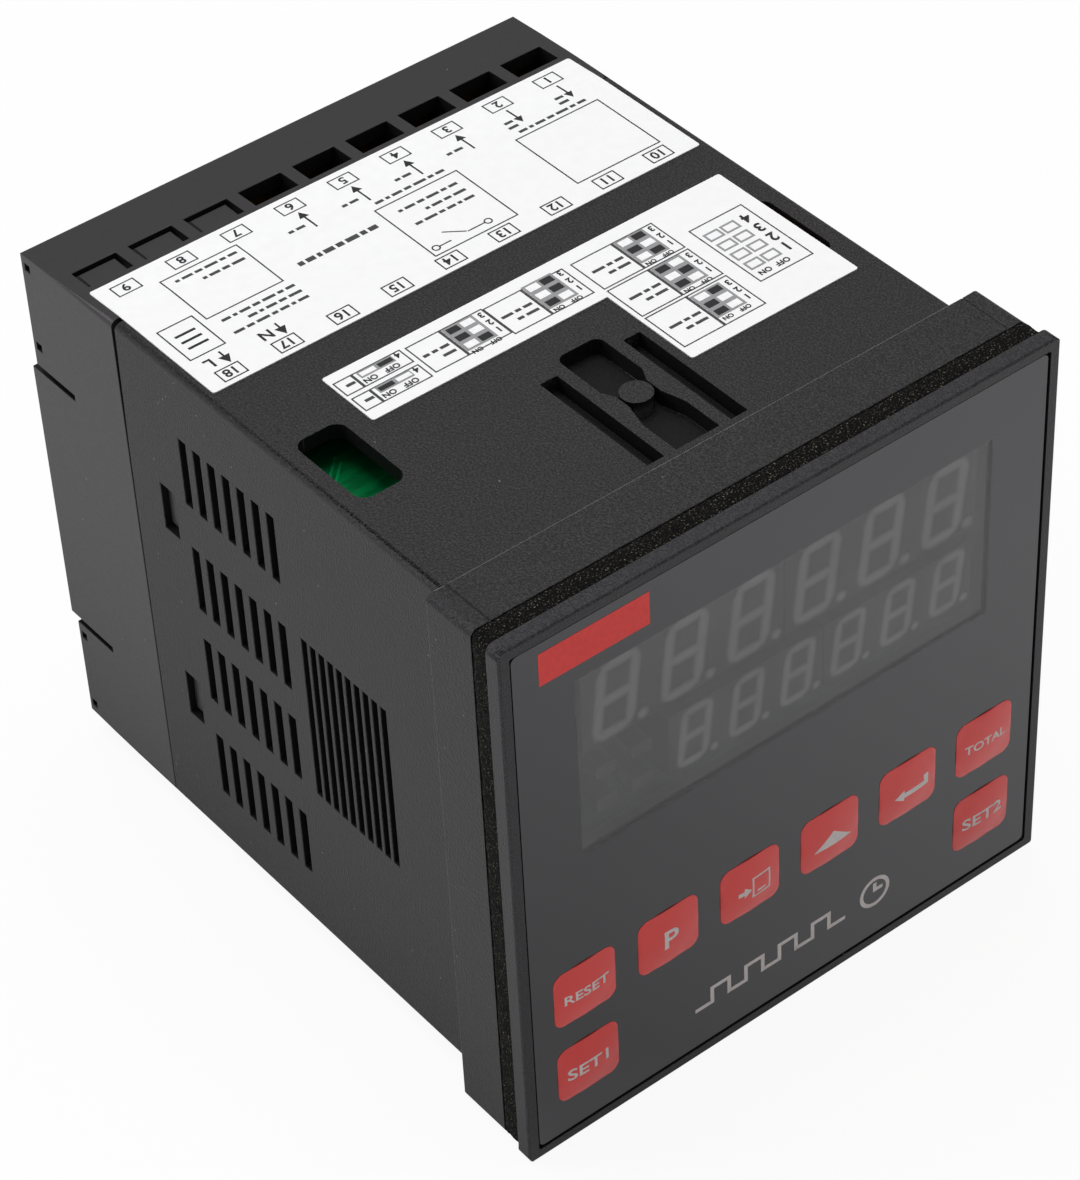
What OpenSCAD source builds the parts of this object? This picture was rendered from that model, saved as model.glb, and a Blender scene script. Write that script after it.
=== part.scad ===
// Panel counter: a 72 x 72 mm panel instrument with six-digit displays, a
// film keypad, a vented housing and a clipped rear cover with screw terminals.
// Millimetres. X runs to the right seen from the front, Y towards the rear,
// Z up. The origin is the centre of the collar's rear face, which seats on
// the panel.

/* [Front] */
// Width of the front bezel
front_w = 72; // [70:0.5:80]
// Height of the front bezel
front_h = 72; // [70:0.5:80]
// Thickness of the bezel plate
bezel_t = 1.9; // [1.6:0.1:3]
// Corner radius of the bezel
bezel_r = 1; // [0.8:0.1:3]
// Bevel round the bezel's front edge
bezel_bevel = 0.2; // [0.1:0.05:0.6]
// Width of the rim round the film
rim_w = 1.3; // [0.8:0.1:1.6]
// Depth of the film's bed below the rim
bed_depth = 0.5; // [0.4:0.05:0.7]
// Thickness of the overlay film
film_t = 0.35; // [0.2:0.05:0.4]
// Gap between the film and the rim
film_gap = 0.25; // [0.1:0.05:0.4]
// Corner radius of the film
film_r = 0.7; // [0.5:0.1:3]
// Corner radius of the film's bed
bed_r = 0.3; // [0.1:0.1:0.5]

/* [Display] */
// Film on the left and right of the clear window
window_margin = 7.25; // [6.5:0.05:8.5]
// Film above the clear window
window_drop = 7.15; // [6.6:0.05:7.8]
// Height of the clear window in the film
window_h = 23.5; // [22:0.1:24]
// How far the bezel's aperture stays inside the window
aperture_inset = 0.5; // [0.2:0.1:0.8]
// Distance from the film to the faces of the digits
digit_gap = 0.5; // [0.3:0.1:1.2]
// Digits in each row
digit_count = 6; // [2:2:6]
// Window on the left and right of the upper digits
upper_margin = 1.28; // [1:0.02:3]
// Height of the upper digits
upper_h = 9.1; // [8:0.1:9.2]
// Distance of the upper row's middle from the window's top
upper_drop = 5.85; // [5.8:0.05:6.2]
// Window on the left of the lower digits
lower_left = 11.94; // [11.6:0.02:13]
// Window on the right of the lower digits
lower_right = 1.54; // [1:0.02:3]
// Height of the lower digits
lower_h = 6.65; // [6:0.05:7]
// Distance of the lower row's middle from the window's top
lower_drop = 17.05; // [16.6:0.05:17.4]
// Plastic above and below a row of digits
digit_border = 0.7; // [0.5:0.05:0.75]
// Slant of the digits in degrees
digit_slant = 8; // [0:1:12]
// Depth of the segments in the faces of the digits
segment_depth = 0.2; // [0.1:0.05:0.4]

/* [Keys] */
// Width of a key
key_w = 7.85; // [7:0.05:8.2]
// Height of a key
key_h = 7.45; // [7:0.05:8.2]
// Corner radius of a key
key_r = 1.2; // [0.6:0.1:2]
// Film outside the outer keys
key_margin = 2.85; // [2:0.05:4]
// Height of the upper key row above the film's lower edge
key_row_rise = 19.6; // [19.2:0.05:20]
// Distance from the upper key row down to the lower one
key_row_pitch = 11.25; // [10.5:0.05:11.6]
// Rise of a key's crown above the film
key_rise = 0.5; // [0.2:0.05:0.8]
// Rise of a key's flat rim above the film
key_shoulder = 0.06; // [0.02:0.02:0.15]
// Radius of a key's domed middle
key_dome_r = 4.1; // [3.6:0.05:4.6]
// Travel of a key
key_travel = 0.3; // [0.2:0.05:0.4]
// Clearance round a moving key
key_clear = 0.1; // [0.05:0.01:0.15]
// Diameter of a switch plunger
plunger_d = 3; // [2.4:0.1:3.4]
// Radial clearance of a plunger in its switch
plunger_clear = 0.06; // [0.03:0.01:0.1]
// Side of a key switch's case
switch_w = 4.5; // [4:0.1:4.7]
// Height of a key switch's case
switch_h = 3.4; // [3:0.1:4]

/* [Collar and seal] */
// Thickness of the foam seal
gasket_t = 2.8; // [2:0.1:3.5]
// How far the collar stays inside the bezel's outline
collar_inset = 0.4; // [0.2:0.1:0.8]
// How far the collar stands out on the housing's sides
flange_side = 2.3; // [1.5:0.1:2.6]
// How far the collar stands out on the housing's top and bottom
flange_top = 1.7; // [1.4:0.1:2.2]
// Depth of the collar
collar_t = 6.8; // [6:0.1:8]
// Corner radius of the collar
collar_r = 1; // [0.8:0.1:3]
// Width and depth of the fine joint line across the collar
joint_line = 0.2; // [0.1:0.05:0.4]

/* [Housing] */
// Depth of the housing behind the panel
body_d = 56.4; // [55:0.2:62]
// Wall of the housing
wall = 1.8; // [1.5:0.1:2]
// Radius of the housing's long edges
body_r = 0.8; // [0.3:0.1:1.2]
// Clearance between pieces that slide together
fit = 0.3; // [0.2:0.05:0.4]
// Width of a top window
hatch_w = 5.8; // [5.4:0.1:6]
// Length of a top window
hatch_l = 11.6; // [11.2:0.1:12.5]
// Corner radius of a top window
hatch_r = 1.5; // [0.5:0.1:2.5]
// Distance of a top window's middle from the housing's side
hatch_inset = 5.3; // [5.2:0.05:5.5]
// Place of the top windows behind the panel
hatch_y = 22.3; // [22:0.1:25]

/* [Clamp recess] */
// Width of the two straight slots
clamp_slot_w = 2.15; // [1.6:0.05:2.4]
// Length of the two straight slots
clamp_slot_l = 16.8; // [14:0.2:18]
// Distance of the slots from the middle
clamp_slot_x = 5.4; // [5:0.1:6]
// Width of the pocket between the slots
clamp_pocket_w = 5.6; // [4.4:0.1:5.8]
// Length of the pocket between the slots
clamp_pocket_l = 19; // [17.5:0.2:20]
// Width of the pocket's waist
clamp_waist_w = 4; // [3.9:0.05:4.3]
// Radius of the round boss in the waist
clamp_boss_r = 1.8; // [1.4:0.05:1.9]
// Distance of the boss from the recess's front edge
clamp_boss_inset = 9.5; // [8:0.1:11]
// Distance of the recess from the panel
clamp_y = 2.4; // [2:0.1:4]
// Depth of the recess
clamp_depth = 2; // [1:0.1:2.4]
// Floor left under the recess
clamp_floor = 1.4; // [1:0.1:1.6]

/* [Vents] */
// Slots in a vent group
vent_count = 7; // [3:1:7]
// Width of a vent slot
vent_w = 1.3; // [0.8:0.1:1.6]
// Height of a vent slot
vent_h = 8.8; // [7:0.1:9.2]
// Pitch of the vent slots
vent_pitch = 2.58; // [2.2:0.02:2.6]
// Place of the vent groups behind the panel
vent_y = 37.65; // [37:0.05:38.2]
// Heights of the four vent groups
vent_rows = [20.5, 5.7, -7.4, -21.5];
// Slits in the grille
grille_count = 10; // [4:1:10]
// Width of a grille slit
grille_slit_w = 0.95; // [0.6:0.05:1.05]
// Pitch of the grille slits
grille_pitch = 1.5; // [1.3:0.02:1.52]
// Height of the grille
grille_h = 22.3; // [16:0.1:23]
// Place of the grille's middle behind the panel
grille_y = 19.25; // [18:0.05:19.6]
// Height of the grille's middle
grille_z = -0.65; // [-1.2:0.05:0.6]

/* [Rear cover] */
// Depth of the rear cover with its seam
cover_d = 17.4; // [16.6:0.2:20]
// Seam between the housing and the rear cover
seam = 0.2; // [0.1:0.05:0.3]
// Seam's extra opening at its upper left corner
seam_gape = 0.45; // [0.1:0.05:0.6]
// Length of the opened stretch of seam
seam_gape_l = 17; // [8:0.5:18]
// Draft of the cover's top and bottom over its depth
cover_draft = 0.8; // [0:0.1:1]
// Wall of the cover's sides and rear
cover_wall = 2; // [1.7:0.1:2.1]
// How far the cover's middle stands out to the rear
middle_proud = 1.1; // [0.5:0.1:2]
// Distance of the upper slit in the cover's sides from its top
slit_drop = 16.2; // [15.7:0.1:16.5]
// Distance of the lower slit in the cover's sides from its bottom
slit_lift = 15; // [14.8:0.1:16.3]
// Width of the slits
slit_h = 0.8; // [0.4:0.1:1]
// Length of the slits
slit_l = 7.2; // [5:0.1:8]
// Height of a latch window
latch_h = 6.2; // [5:0.1:6.4]
// Width of a latch window
latch_w = 2.7; // [2.2:0.1:3]
// Distance of the latch windows from the housing's rear edge
latch_inset = 6.85; // [6:0.05:7.2]
// Heights of the two latch windows on a side
latch_rows = [12.8, -14.2];
// Thickness of a latch tongue
tongue_t = 1.3; // [1:0.1:1.6]

/* [Terminals] */
// Terminals in a row
terminal_count = 9; // [4:1:9]
// Upper terminals that are fitted, counted from the right
upper_fitted = 6; // [1:1:9]
// Cover beside the outer terminals
terminal_end = 1.1; // [1:0.05:2]
// Rib between two terminals
terminal_rib = 1.55; // [1.4:0.05:2]
// Depth of a wire slot from front to rear
slot_d = 3.4; // [2.8:0.1:3.8]
// Distance from the cover's rear face to a wire slot
slot_inset = 7; // [6.8:0.1:7.6]
// Recess of the panels that close unused wire slots
blank_recess = 0.3; // [0.1:0.05:0.5]
// Width of the gap along a closing panel
blank_gap = 0.45; // [0.2:0.05:0.6]
// Height of a terminal chamber
chamber_h = 10.6; // [9.8:0.1:10.8]
// Thickness of the terminals' sheet metal
contact_t = 0.8; // [0.5:0.1:1]
// Diameter of a terminal screw's shank
screw_d = 2.9; // [2.4:0.1:3]
// Diameter of a terminal screw's head
screw_head_d = 4.4; // [4:0.1:4.6]
// Height of a terminal screw's head
screw_head_h = 1.5; // [1:0.1:1.6]
// Diameter of a screwdriver hole in the rear
driver_d = 4.9; // [4.7:0.1:5.2]

/* [Boards] */
// Thickness of the circuit boards
board_t = 1.6; // [1.2:0.1:1.8]
// Distance of a board's inner face from the housing's inner wall
board_inset = 5.2; // [4.8:0.1:5.3]
// Distance from the bezel plate to the display board
skirt_d = 6.6; // [6:0.1:7.4]
// Wall of the bezel's rear skirt
skirt_t = 1; // [0.8:0.1:1.1]
// Thickness of a board guide rib
rib_t = 1.1; // [0.8:0.1:1.2]
// How far a guide rib reaches in from the wall
rib_reach = 0.9; // [0.8:0.05:0.95]
// Diameter of the display board's screws
post_screw_d = 1.7; // [1.4:0.1:1.8]
// Diameter of the posts for those screws
post_d = 3.2; // [2.8:0.1:3.2]

/* [Switch block] */
// Pitch of the sliders in the switch block under the right window
slider_pitch = 2.54; // [2.3:0.02:2.6]
// Width of a slider
slider_w = 1.2; // [1:0.05:1.3]
// Travel of a slider
slider_travel = 1.6; // [1:0.1:1.8]
// Clearance round a slider
slider_clear = 0.1; // [0.05:0.01:0.15]
// Distance from the housing's top to the top of the block
block_drop = 0.9; // [0.8:0.1:1.4]

/* [Labels] */
// Thickness of the paper labels
label_t = 0.12; // [0.1:0.01:0.2]
// Housing on the left and right of the wiring label
wiring_margin = 1.2; // [0.8:0.1:3]
// Length of the wiring label
wiring_l = 22.6; // [20:0.2:23]
// Distance from the wiring label to the wire slots
wiring_inset = 1; // [0.6:0.1:2]
// Corner radius of the labels
label_r = 0.3; // [0.2:0.1:1.5]
// Housing on the left of the settings label
settings_left_margin = 10.7; // [9.4:0.1:13]
// Housing on the right of the settings label
settings_right_margin = 3.2; // [2.9:0.1:3.7]
// Width of the settings label's wide part
settings_wide_w = 22.5; // [20:0.1:23]
// Length of the settings label's narrow part
settings_strip_l = 8.7; // [7:0.1:9.5]
// Length of the settings label's wide part
settings_l = 22.2; // [20:0.1:23]
// Rear edge of the settings label behind the panel
settings_y = 34.4; // [33.6:0.1:35]

/* [Hidden] */
$fn = 48;

// Small overlap that joins two shapes, and the length by which a cut runs past a face
eps = 0.01;
over = 1;

// Stations along Y, from the front to the rear
y_collar = -collar_t;
y_plate_back = y_collar - gasket_t;
y_front = y_plate_back - bezel_t;
y_bed = y_front + bed_depth;
y_film = y_bed - film_t;
y_board = y_plate_back + skirt_d;
y_board_back = y_board + board_t;
y_cover = body_d + seam;
y_rear = body_d + cover_d;
y_slot = y_rear - slot_inset - slot_d;

// Outlines
collar_w = front_w - 2 * collar_inset;
collar_h = front_h - 2 * collar_inset;
body_w = collar_w - 2 * flange_side;
body_h = collar_h - 2 * flange_top;
cavity_w = body_w - 2 * wall;
cavity_h = body_h - 2 * wall;
film_w = front_w - 2 * (rim_w + film_gap);
film_h = front_h - 2 * (rim_w + film_gap);
skirt_w = cavity_w - 2 * fit;
skirt_h = cavity_h - 2 * fit;
body_top = body_h / 2;
body_side = body_w / 2;
hatch_x = body_side - hatch_inset;
board_z = cavity_h / 2 - board_inset;
slit_upper_z = body_top - slit_drop;
slit_lower_z = slit_lift - body_top;

// Window and digits
window_w = film_w - 2 * window_margin;
window_z = film_h / 2 - window_drop - window_h / 2;
window_top = window_z + window_h / 2;
upper_pitch = (window_w - 2 * upper_margin) / digit_count;
upper_z = window_top - upper_drop;
lower_pitch = (window_w - lower_left - lower_right) / digit_count;
lower_x = (lower_left - lower_right) / 2;
lower_z = window_top - lower_drop;

// Keys: name, column counted from the middle, row
KEYS = [
    ["reset", -2.5, 0], ["set_1", -2.5, 1], ["program", -1.5, 0], ["shift", -0.5, 0],
    ["up", 0.5, 0], ["enter", 1.5, 0], ["total", 2.5, 0], ["set_2", 2.5, 1]
];
key_columns = 6;
key_pitch = (film_w - 2 * key_margin - key_w) / (key_columns - 1);
key_row_z = key_row_rise - film_h / 2;
key_pocket_depth = key_travel + fit;
switch_well = key_travel + fit;
switch_r = 0.4;
plunger_entry = fit;

// Posts behind the bezel that hold the display board
post_lap_x = 0.6;
post_lap_z = 0.3;
post_column = 1.65;
post_upper_x = window_w / 2 + post_d / 2 - post_lap_x;
post_upper_z = window_top + post_d / 2 - post_lap_z;
post_lower_x = key_pitch * post_column;
POSTS = [for (s = [-1, 1]) each [
    [s * post_upper_x, post_upper_z],
    [s * post_lower_x, key_row_z - key_row_pitch]
]];
post_head_d = 2 * post_screw_d;
post_head_h = 1.3;
post_grip = 4;
cross_w = 0.5;
cross_l = 1.8;
cross_depth = 0.8;
thread_gap = 0.04;

// Digit modules hold half of a row each
module_gap = 0.1;
digit_stroke = 0.12;
digit_aspect = 0.56;
segment_gap = 0.62;
point_share = 0.6;

// Terminal chambers, laid out for the upper row
terminal_pitch = (body_w - 2 * terminal_end) / terminal_count;
slot_w = terminal_pitch - terminal_rib;
roof_t = 1.5;
chamber_margin = 1;
head_gap = 0.2;
driver_slot_w = 0.7;
chamber_z0 = body_top - cover_draft - roof_t - chamber_h;
chamber_y0 = y_slot - chamber_margin;
chamber_y1 = y_rear - cover_wall;
partition_t = 1.4;
notch = 1;
screw_seat_y = chamber_y1 - screw_head_h - head_gap;
screw_z = chamber_z0 + chamber_h / 2;
contact_w = slot_w - 2 * fit;
contact_tail_w = 1;
contact_drop = 1;
contact_leg_t = 1.5 * contact_t;
board_end = body_d - fit - seam;
tail_lap = 3;

function key_x(k) = k[1] * key_pitch;
function key_z(k) = key_row_z - k[2] * key_row_pitch;
function terminal_x(i) = ((terminal_count - 1) / 2 - i) * terminal_pitch;
function slider_y(i) = hatch_y + (i - (slider_count - 1) / 2) * slider_pitch;
function top_at(y) = body_top - max(0, y - y_cover) * cover_draft / (y_rear - y_cover);

// Flat rectangle with round corners, centred
module round_rect(w, h, r) {
    square([w - 2 * r, h], center = true);
    square([w, h - 2 * r], center = true);
    for (x = [-1, 1], y = [-1, 1])
        translate([x * (w / 2 - r), y * (h / 2 - r)]) circle(r);
}

// Stands a flat shape in X and Z up between two stations along Y
module stand(y0, y1) {
    translate([0, y1, 0]) rotate([90, 0, 0]) linear_extrude(y1 - y0) children();
}

// Runs a flat shape in Y and Z sideways between two stations along X
module across(x0, x1) {
    translate([x0, 0, 0]) rotate([90, 0, 90]) linear_extrude(x1 - x0) children();
}

// Box between two corners
module block(low, high) {
    translate(low) cube(high - low);
}

// Children on the left and right, or on the top and bottom
module both_sides() {
    children();
    mirror([1, 0, 0]) children();
}
module both_faces() {
    children();
    mirror([0, 0, 1]) children();
}

// Front bezel: rimmed plate, skirt behind it, screw posts and snap ridges
ridge_l = 14;
ridge_w = 0.8;
ridge_inset = 2;
ridge_y = y_collar + ridge_inset;

module bezel_bevels() {
    for (turn = [0:3]) rotate([0, 90 * turn, 0]) {
        reach = (turn % 2 == 0 ? front_h : front_w) / 2;
        run = (turn % 2 == 0 ? front_w : front_h) / 2 + over;
        across(-run, run)
            polygon([[y_front - eps, reach - bezel_bevel], [y_front - eps, reach + eps],
                     [y_front + bezel_bevel, reach + eps]]);
    }
}

module snap_ridge(grow) {
    half = cavity_w / 2 + ridge_w / 2 - fit;
    block([skirt_w / 2 - skirt_t / 2, ridge_y - grow, -ridge_l / 2 - grow],
          [half + grow / 2, ridge_y + ridge_w + grow, ridge_l / 2 + grow]);
}

module key_outline(grow) {
    round_rect(key_w + 2 * grow, key_h + 2 * grow, key_r + grow);
}

module front_bezel() {
    color("#2e2e30") difference() {
        union() {
            stand(y_front, y_plate_back) round_rect(front_w, front_h, bezel_r);
            difference() {
                stand(y_plate_back - eps, y_board) square([skirt_w, skirt_h], center = true);
                stand(y_plate_back, y_board + eps)
                    square([skirt_w - 2 * skirt_t, skirt_h - 2 * skirt_t], center = true);
            }
            for (p = POSTS) translate([p[0], y_board, p[1]]) rotate([90, 0, 0])
                cylinder(h = skirt_d + eps, d = post_d);
            both_sides() snap_ridge(0);
        }
        bezel_bevels();
        stand(y_front - eps, y_bed)
            round_rect(film_w + 2 * film_gap, film_h + 2 * film_gap, bed_r);
        translate([0, 0, window_z]) stand(y_front, y_plate_back + eps)
            square([window_w - 2 * aperture_inset, window_h - 2 * aperture_inset], center = true);
        for (k = KEYS) translate([key_x(k), 0, key_z(k)]) {
            stand(y_front, y_bed + key_pocket_depth) key_outline(key_clear);
            translate([0, y_plate_back + eps, 0]) rotate([90, 0, 0])
                cylinder(h = bezel_t, d = plunger_d + 2 * fit);
        }
        for (p = POSTS) translate([p[0], y_board + eps, p[1]]) rotate([90, 0, 0])
            cylinder(h = post_grip + fit, d = post_screw_d + thread_gap);
    }
}

// Printed overlay film with openings for the keys and the clear window
module front_overlay() {
    color("#3a3a3d") difference() {
        stand(y_film, y_bed) round_rect(film_w, film_h, film_r);
        translate([0, 0, window_z]) stand(y_film - eps, y_bed + eps)
            square([window_w, window_h], center = true);
        for (k = KEYS) translate([key_x(k), 0, key_z(k)])
            stand(y_film - eps, y_bed + eps) key_outline(key_clear);
    }
}

// Smoked clear area of the film in front of the digits
module display_window() {
    color("#4a4a4c") translate([0, 0, window_z])
        stand(y_film, y_bed) square([window_w, window_h], center = true);
}

// Key: embossed pad of the film with a flat rim and a domed middle
module key_pad(k) {
    crown_y = y_film - key_rise;
    drop = key_rise - key_shoulder;
    radius = (key_dome_r * key_dome_r + drop * drop) / (2 * drop);
    color("#be3c38") translate([key_x(k), 0, key_z(k)]) {
        stand(y_film - key_shoulder, y_bed) key_outline(0);
        intersection() {
            stand(crown_y, y_bed) key_outline(0);
            translate([0, crown_y + radius, 0]) sphere(radius, $fn = 400);
        }
    }
}

// Plunger between a key and its switch
module key_plunger(k) {
    color("#d8d4c8") translate([key_x(k), y_board - switch_h + plunger_entry, key_z(k)])
        rotate([90, 0, 0]) cylinder(h = y_board - switch_h + plunger_entry - y_bed, d = plunger_d);
}

// Cases of the key switches on the display board
module switch_cases() {
    color("#1c1c1e") for (k = KEYS) translate([key_x(k), 0, key_z(k)]) difference() {
        stand(y_board - switch_h, y_board) round_rect(switch_w, switch_w, switch_r);
        translate([0, y_board - switch_h + plunger_entry + switch_well, 0]) rotate([90, 0, 0])
            cylinder(h = switch_h, d = plunger_d + 2 * plunger_clear);
    }
}

// Foam seal between the bezel and the collar
module panel_gasket() {
    color("#2b2a28") difference() {
        stand(y_plate_back, y_collar) round_rect(collar_w, collar_h, collar_r);
        stand(y_plate_back - eps, y_collar + eps)
            square([cavity_w, cavity_h], center = true);
    }
}

// Recess for a mounting clamp in the housing's top: two slots and a waisted pocket round a boss
clamp_straight = 5;
clamp_neck = 1.4;
clamp_corner_r = 1.1;
clamp_corner_step = 15;
clamp_margin = 1.6;

module clamp_recess() {
    boss_y = clamp_y + clamp_boss_inset;
    rear_y = clamp_y + clamp_pocket_l - clamp_corner_r;
    half = clamp_pocket_w / 2;
    waist = clamp_waist_w / 2;
    step = half - waist;
    right = concat(
        [[half, clamp_y], [half, clamp_y + clamp_straight], [waist, boss_y - clamp_neck],
         [waist, boss_y + step], [half, boss_y + 3 * step]],
        [for (a = [0:clamp_corner_step:90])
            [half - clamp_corner_r * (1 - cos(a)), rear_y + clamp_corner_r * sin(a)]]);
    left = [for (i = [len(right) - 1:-1:0]) [-right[i][0], right[i][1]]];
    translate([0, 0, body_top - clamp_depth]) {
        for (s = [-1, 1]) translate([s * clamp_slot_x, clamp_y + clamp_slot_l / 2])
            linear_extrude(clamp_depth + over) square([clamp_slot_w, clamp_slot_l], center = true);
        difference() {
            linear_extrude(clamp_depth + over) polygon(concat(right, left));
            translate([0, boss_y, -over]) cylinder(h = clamp_depth + 3 * over, r = clamp_boss_r);
        }
    }
}

// Vent slots, grille and latch windows of one side
module side_openings() {
    x0 = cavity_w / 2 - eps;
    x1 = body_side + over;
    across(x0, x1) {
        for (z = vent_rows, i = [0:vent_count - 1])
            translate([vent_y + (i - (vent_count - 1) / 2) * vent_pitch, z])
                square([vent_w, vent_h], center = true);
        for (i = [0:grille_count - 1])
            translate([grille_y + (i - (grille_count - 1) / 2) * grille_pitch, grille_z])
                square([grille_slit_w, grille_h], center = true);
        for (z = latch_rows) translate([body_d - latch_inset, z])
            square([latch_w, latch_h], center = true);
    }
}

// Ribs that carry the edges of a board along one side
module guide_ribs() {
    x1 = cavity_w / 2 + eps;
    x0 = cavity_w / 2 - rib_reach;
    play = fit / 3;
    block([x0, fit, board_z - play - rib_t], [x1, board_end, board_z - play]);
    block([x0, fit, board_z + board_t + play], [x1, board_end, board_z + board_t + play + rib_t]);
}

module housing() {
    color("#373637") difference() {
        union() {
            difference() {
                union() {
                    stand(y_collar, 0) round_rect(collar_w, collar_h, collar_r);
                    stand(-eps, body_d) round_rect(body_w, body_h, body_r);
                }
                stand(y_collar - over, body_d + over) square([cavity_w, cavity_h], center = true);
            }
            both_faces() {
                both_sides() guide_ribs();
                block([-clamp_slot_x - clamp_slot_w, clamp_y - clamp_margin,
                       body_top - clamp_depth - clamp_floor],
                      [clamp_slot_x + clamp_slot_w, clamp_y + clamp_pocket_l + clamp_margin,
                       body_top - wall + eps]);
            }
        }
        both_faces() clamp_recess();
        both_sides() {
            side_openings();
            snap_ridge(fit);
            both_faces() block([body_side - joint_line, y_collar - eps, collar_h / 2 - joint_line],
                               [body_side, eps, collar_h / 2 + over]);
            translate([hatch_x, hatch_y, cavity_h / 2 - eps]) linear_extrude(wall + over)
                round_rect(hatch_w, hatch_l, hatch_r);
        }
        across(-body_side - over, -cavity_w / 2)
            polygon([[body_d + eps, body_top + eps], [body_d - seam_gape, body_top + eps],
                     [body_d + eps, body_top - seam_gape_l]]);
    }
}

// One terminal chamber of the upper row with its screwdriver hole
module chamber(x) {
    block([x - slot_w / 2, chamber_y0, chamber_z0], [x + slot_w / 2, chamber_y1, chamber_z0 + chamber_h]);
    translate([x, y_rear + over, screw_z]) rotate([90, 0, 0])
        cylinder(h = cover_wall + 2 * over, d = driver_d);
}

// Passage for a contact's tail through the front of a chamber
module tail_passage(x) {
    w = contact_tail_w / 2 + fit;
    block([x - w, y_cover - over, board_z - contact_t - fit], [x + w, chamber_y0 + eps, board_z + fit]);
}

module wire_slot(x) {
    block([x - slot_w / 2, y_slot, chamber_z0 + chamber_h - eps],
          [x + slot_w / 2, y_slot + slot_d, body_top + over]);
}

// Closed wire slot: a sunk panel with gaps along two edges
module blank_slot(x) {
    z = top_at(y_slot + slot_d);
    block([x - slot_w / 2, y_slot, z - blank_recess], [x + slot_w / 2, y_slot + slot_d, body_top + over]);
    block([x - slot_w / 2, y_slot + slot_d - blank_gap, chamber_z0 + chamber_h - eps],
          [x + slot_w / 2, y_slot + slot_d, body_top]);
    block([x + slot_w / 2 - blank_gap, y_slot, chamber_z0 + chamber_h - eps],
          [x + slot_w / 2, y_slot + slot_d, body_top]);
}

// Latch tongue of the cover with a hook that fills a latch window
tongue_root = 3;
tongue_gap = 0.4;
hook_share = 0.75;

module latch_tongue(z) {
    half = latch_h / 2 - tongue_gap;
    hook_y = body_d - latch_inset;
    hook_half = latch_w / 2 - fit / 2;
    x1 = cavity_w / 2 - fit;
    x0 = x1 - tongue_t;
    hook_x = x1 + wall * hook_share;
    translate([0, 0, z]) {
        block([x0, hook_y - latch_w, -half], [x1, y_cover + tongue_root, half]);
        block([x0, y_cover, -half], [body_side - cover_wall / 2, y_cover + tongue_root, half]);
        translate([0, 0, -half]) linear_extrude(2 * half)
            polygon([[x1 - eps, hook_y - hook_half], [hook_x, hook_y],
                     [hook_x, hook_y + hook_half], [x1 - eps, hook_y + hook_half]]);
    }
}

// Cover's outer form with its drafted top and bottom and its raised middle
module cover_form() {
    gap = slit_h / 2;
    intersection() {
        stand(y_cover, y_rear) round_rect(body_w, body_h, body_r);
        across(-body_side, body_side)
            polygon([[y_cover, -body_top], [y_cover, body_top],
                     [y_rear, body_top - cover_draft], [y_rear, -body_top + cover_draft]]);
    }
    block([-body_side, y_rear - cover_wall, slit_lower_z + gap],
          [body_side, y_rear + middle_proud, slit_upper_z - gap]);
}

// Hollow of the cover's middle and the open fronts of its terminal blocks
module cover_hollows() {
    side = body_side - cover_wall;
    block([-side, y_cover - eps, slit_lower_z + 2 * slit_h],
          [side, y_rear + middle_proud - cover_wall, slit_upper_z - 2 * slit_h]);
    both_faces() block([-side + fit, y_cover - eps, chamber_z0],
                       [side - fit, chamber_y0 - partition_t, chamber_z0 + chamber_h]);
}

// Slits and small notches in one side of the cover
module cover_side_cuts() {
    for (z = [slit_upper_z, slit_lower_z])
        block([body_side - cover_wall - eps, y_rear - slit_l, z - slit_h / 2],
              [body_side + over, y_rear + middle_proud + over, z + slit_h / 2]);
    both_faces() for (z = [chamber_z0, chamber_z0 + chamber_h])
        block([body_side - notch, y_rear - 1.5 * notch, z - notch / 2],
              [body_side + over, y_rear - notch / 2, z + notch / 2]);
}

module rear_cover() {
    color("#3b3b3c") {
        difference() {
            cover_form();
            cover_hollows();
            both_sides() cover_side_cuts();
            for (i = [0:terminal_count - 1]) {
                both_faces() {
                    chamber(terminal_x(i));
                    tail_passage(terminal_x(i));
                }
                if (i < upper_fitted) wire_slot(terminal_x(i));
                else blank_slot(terminal_x(i));
                mirror([0, 0, 1]) wire_slot(terminal_x(i));
            }
        }
        both_sides() for (z = latch_rows) latch_tongue(z);
    }
}

// Contact of the upper row: a bent strip with a threaded rear leg and a tail
module contact(x) {
    floor_z = chamber_z0 + fit;
    leg_z = chamber_z0 + chamber_h - contact_drop;
    front_y = chamber_y0 + fit;
    translate([x, 0, 0]) difference() {
        union() {
            across(-contact_w / 2, contact_w / 2) difference() {
                translate([front_y, floor_z]) square([screw_seat_y - front_y, leg_z - floor_z]);
                translate([front_y + contact_t, floor_z + contact_t])
                    square([screw_seat_y - front_y - contact_t - contact_leg_t, leg_z - floor_z]);
            }
            block([-contact_tail_w / 2, board_end - tail_lap, board_z - contact_t],
                  [contact_tail_w / 2, front_y + eps, board_z]);
        }
        translate([0, screw_seat_y + over, screw_z]) rotate([90, 0, 0])
            cylinder(h = contact_leg_t + 2 * over, d = screw_d + 2 * thread_gap);
    }
}

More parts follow.
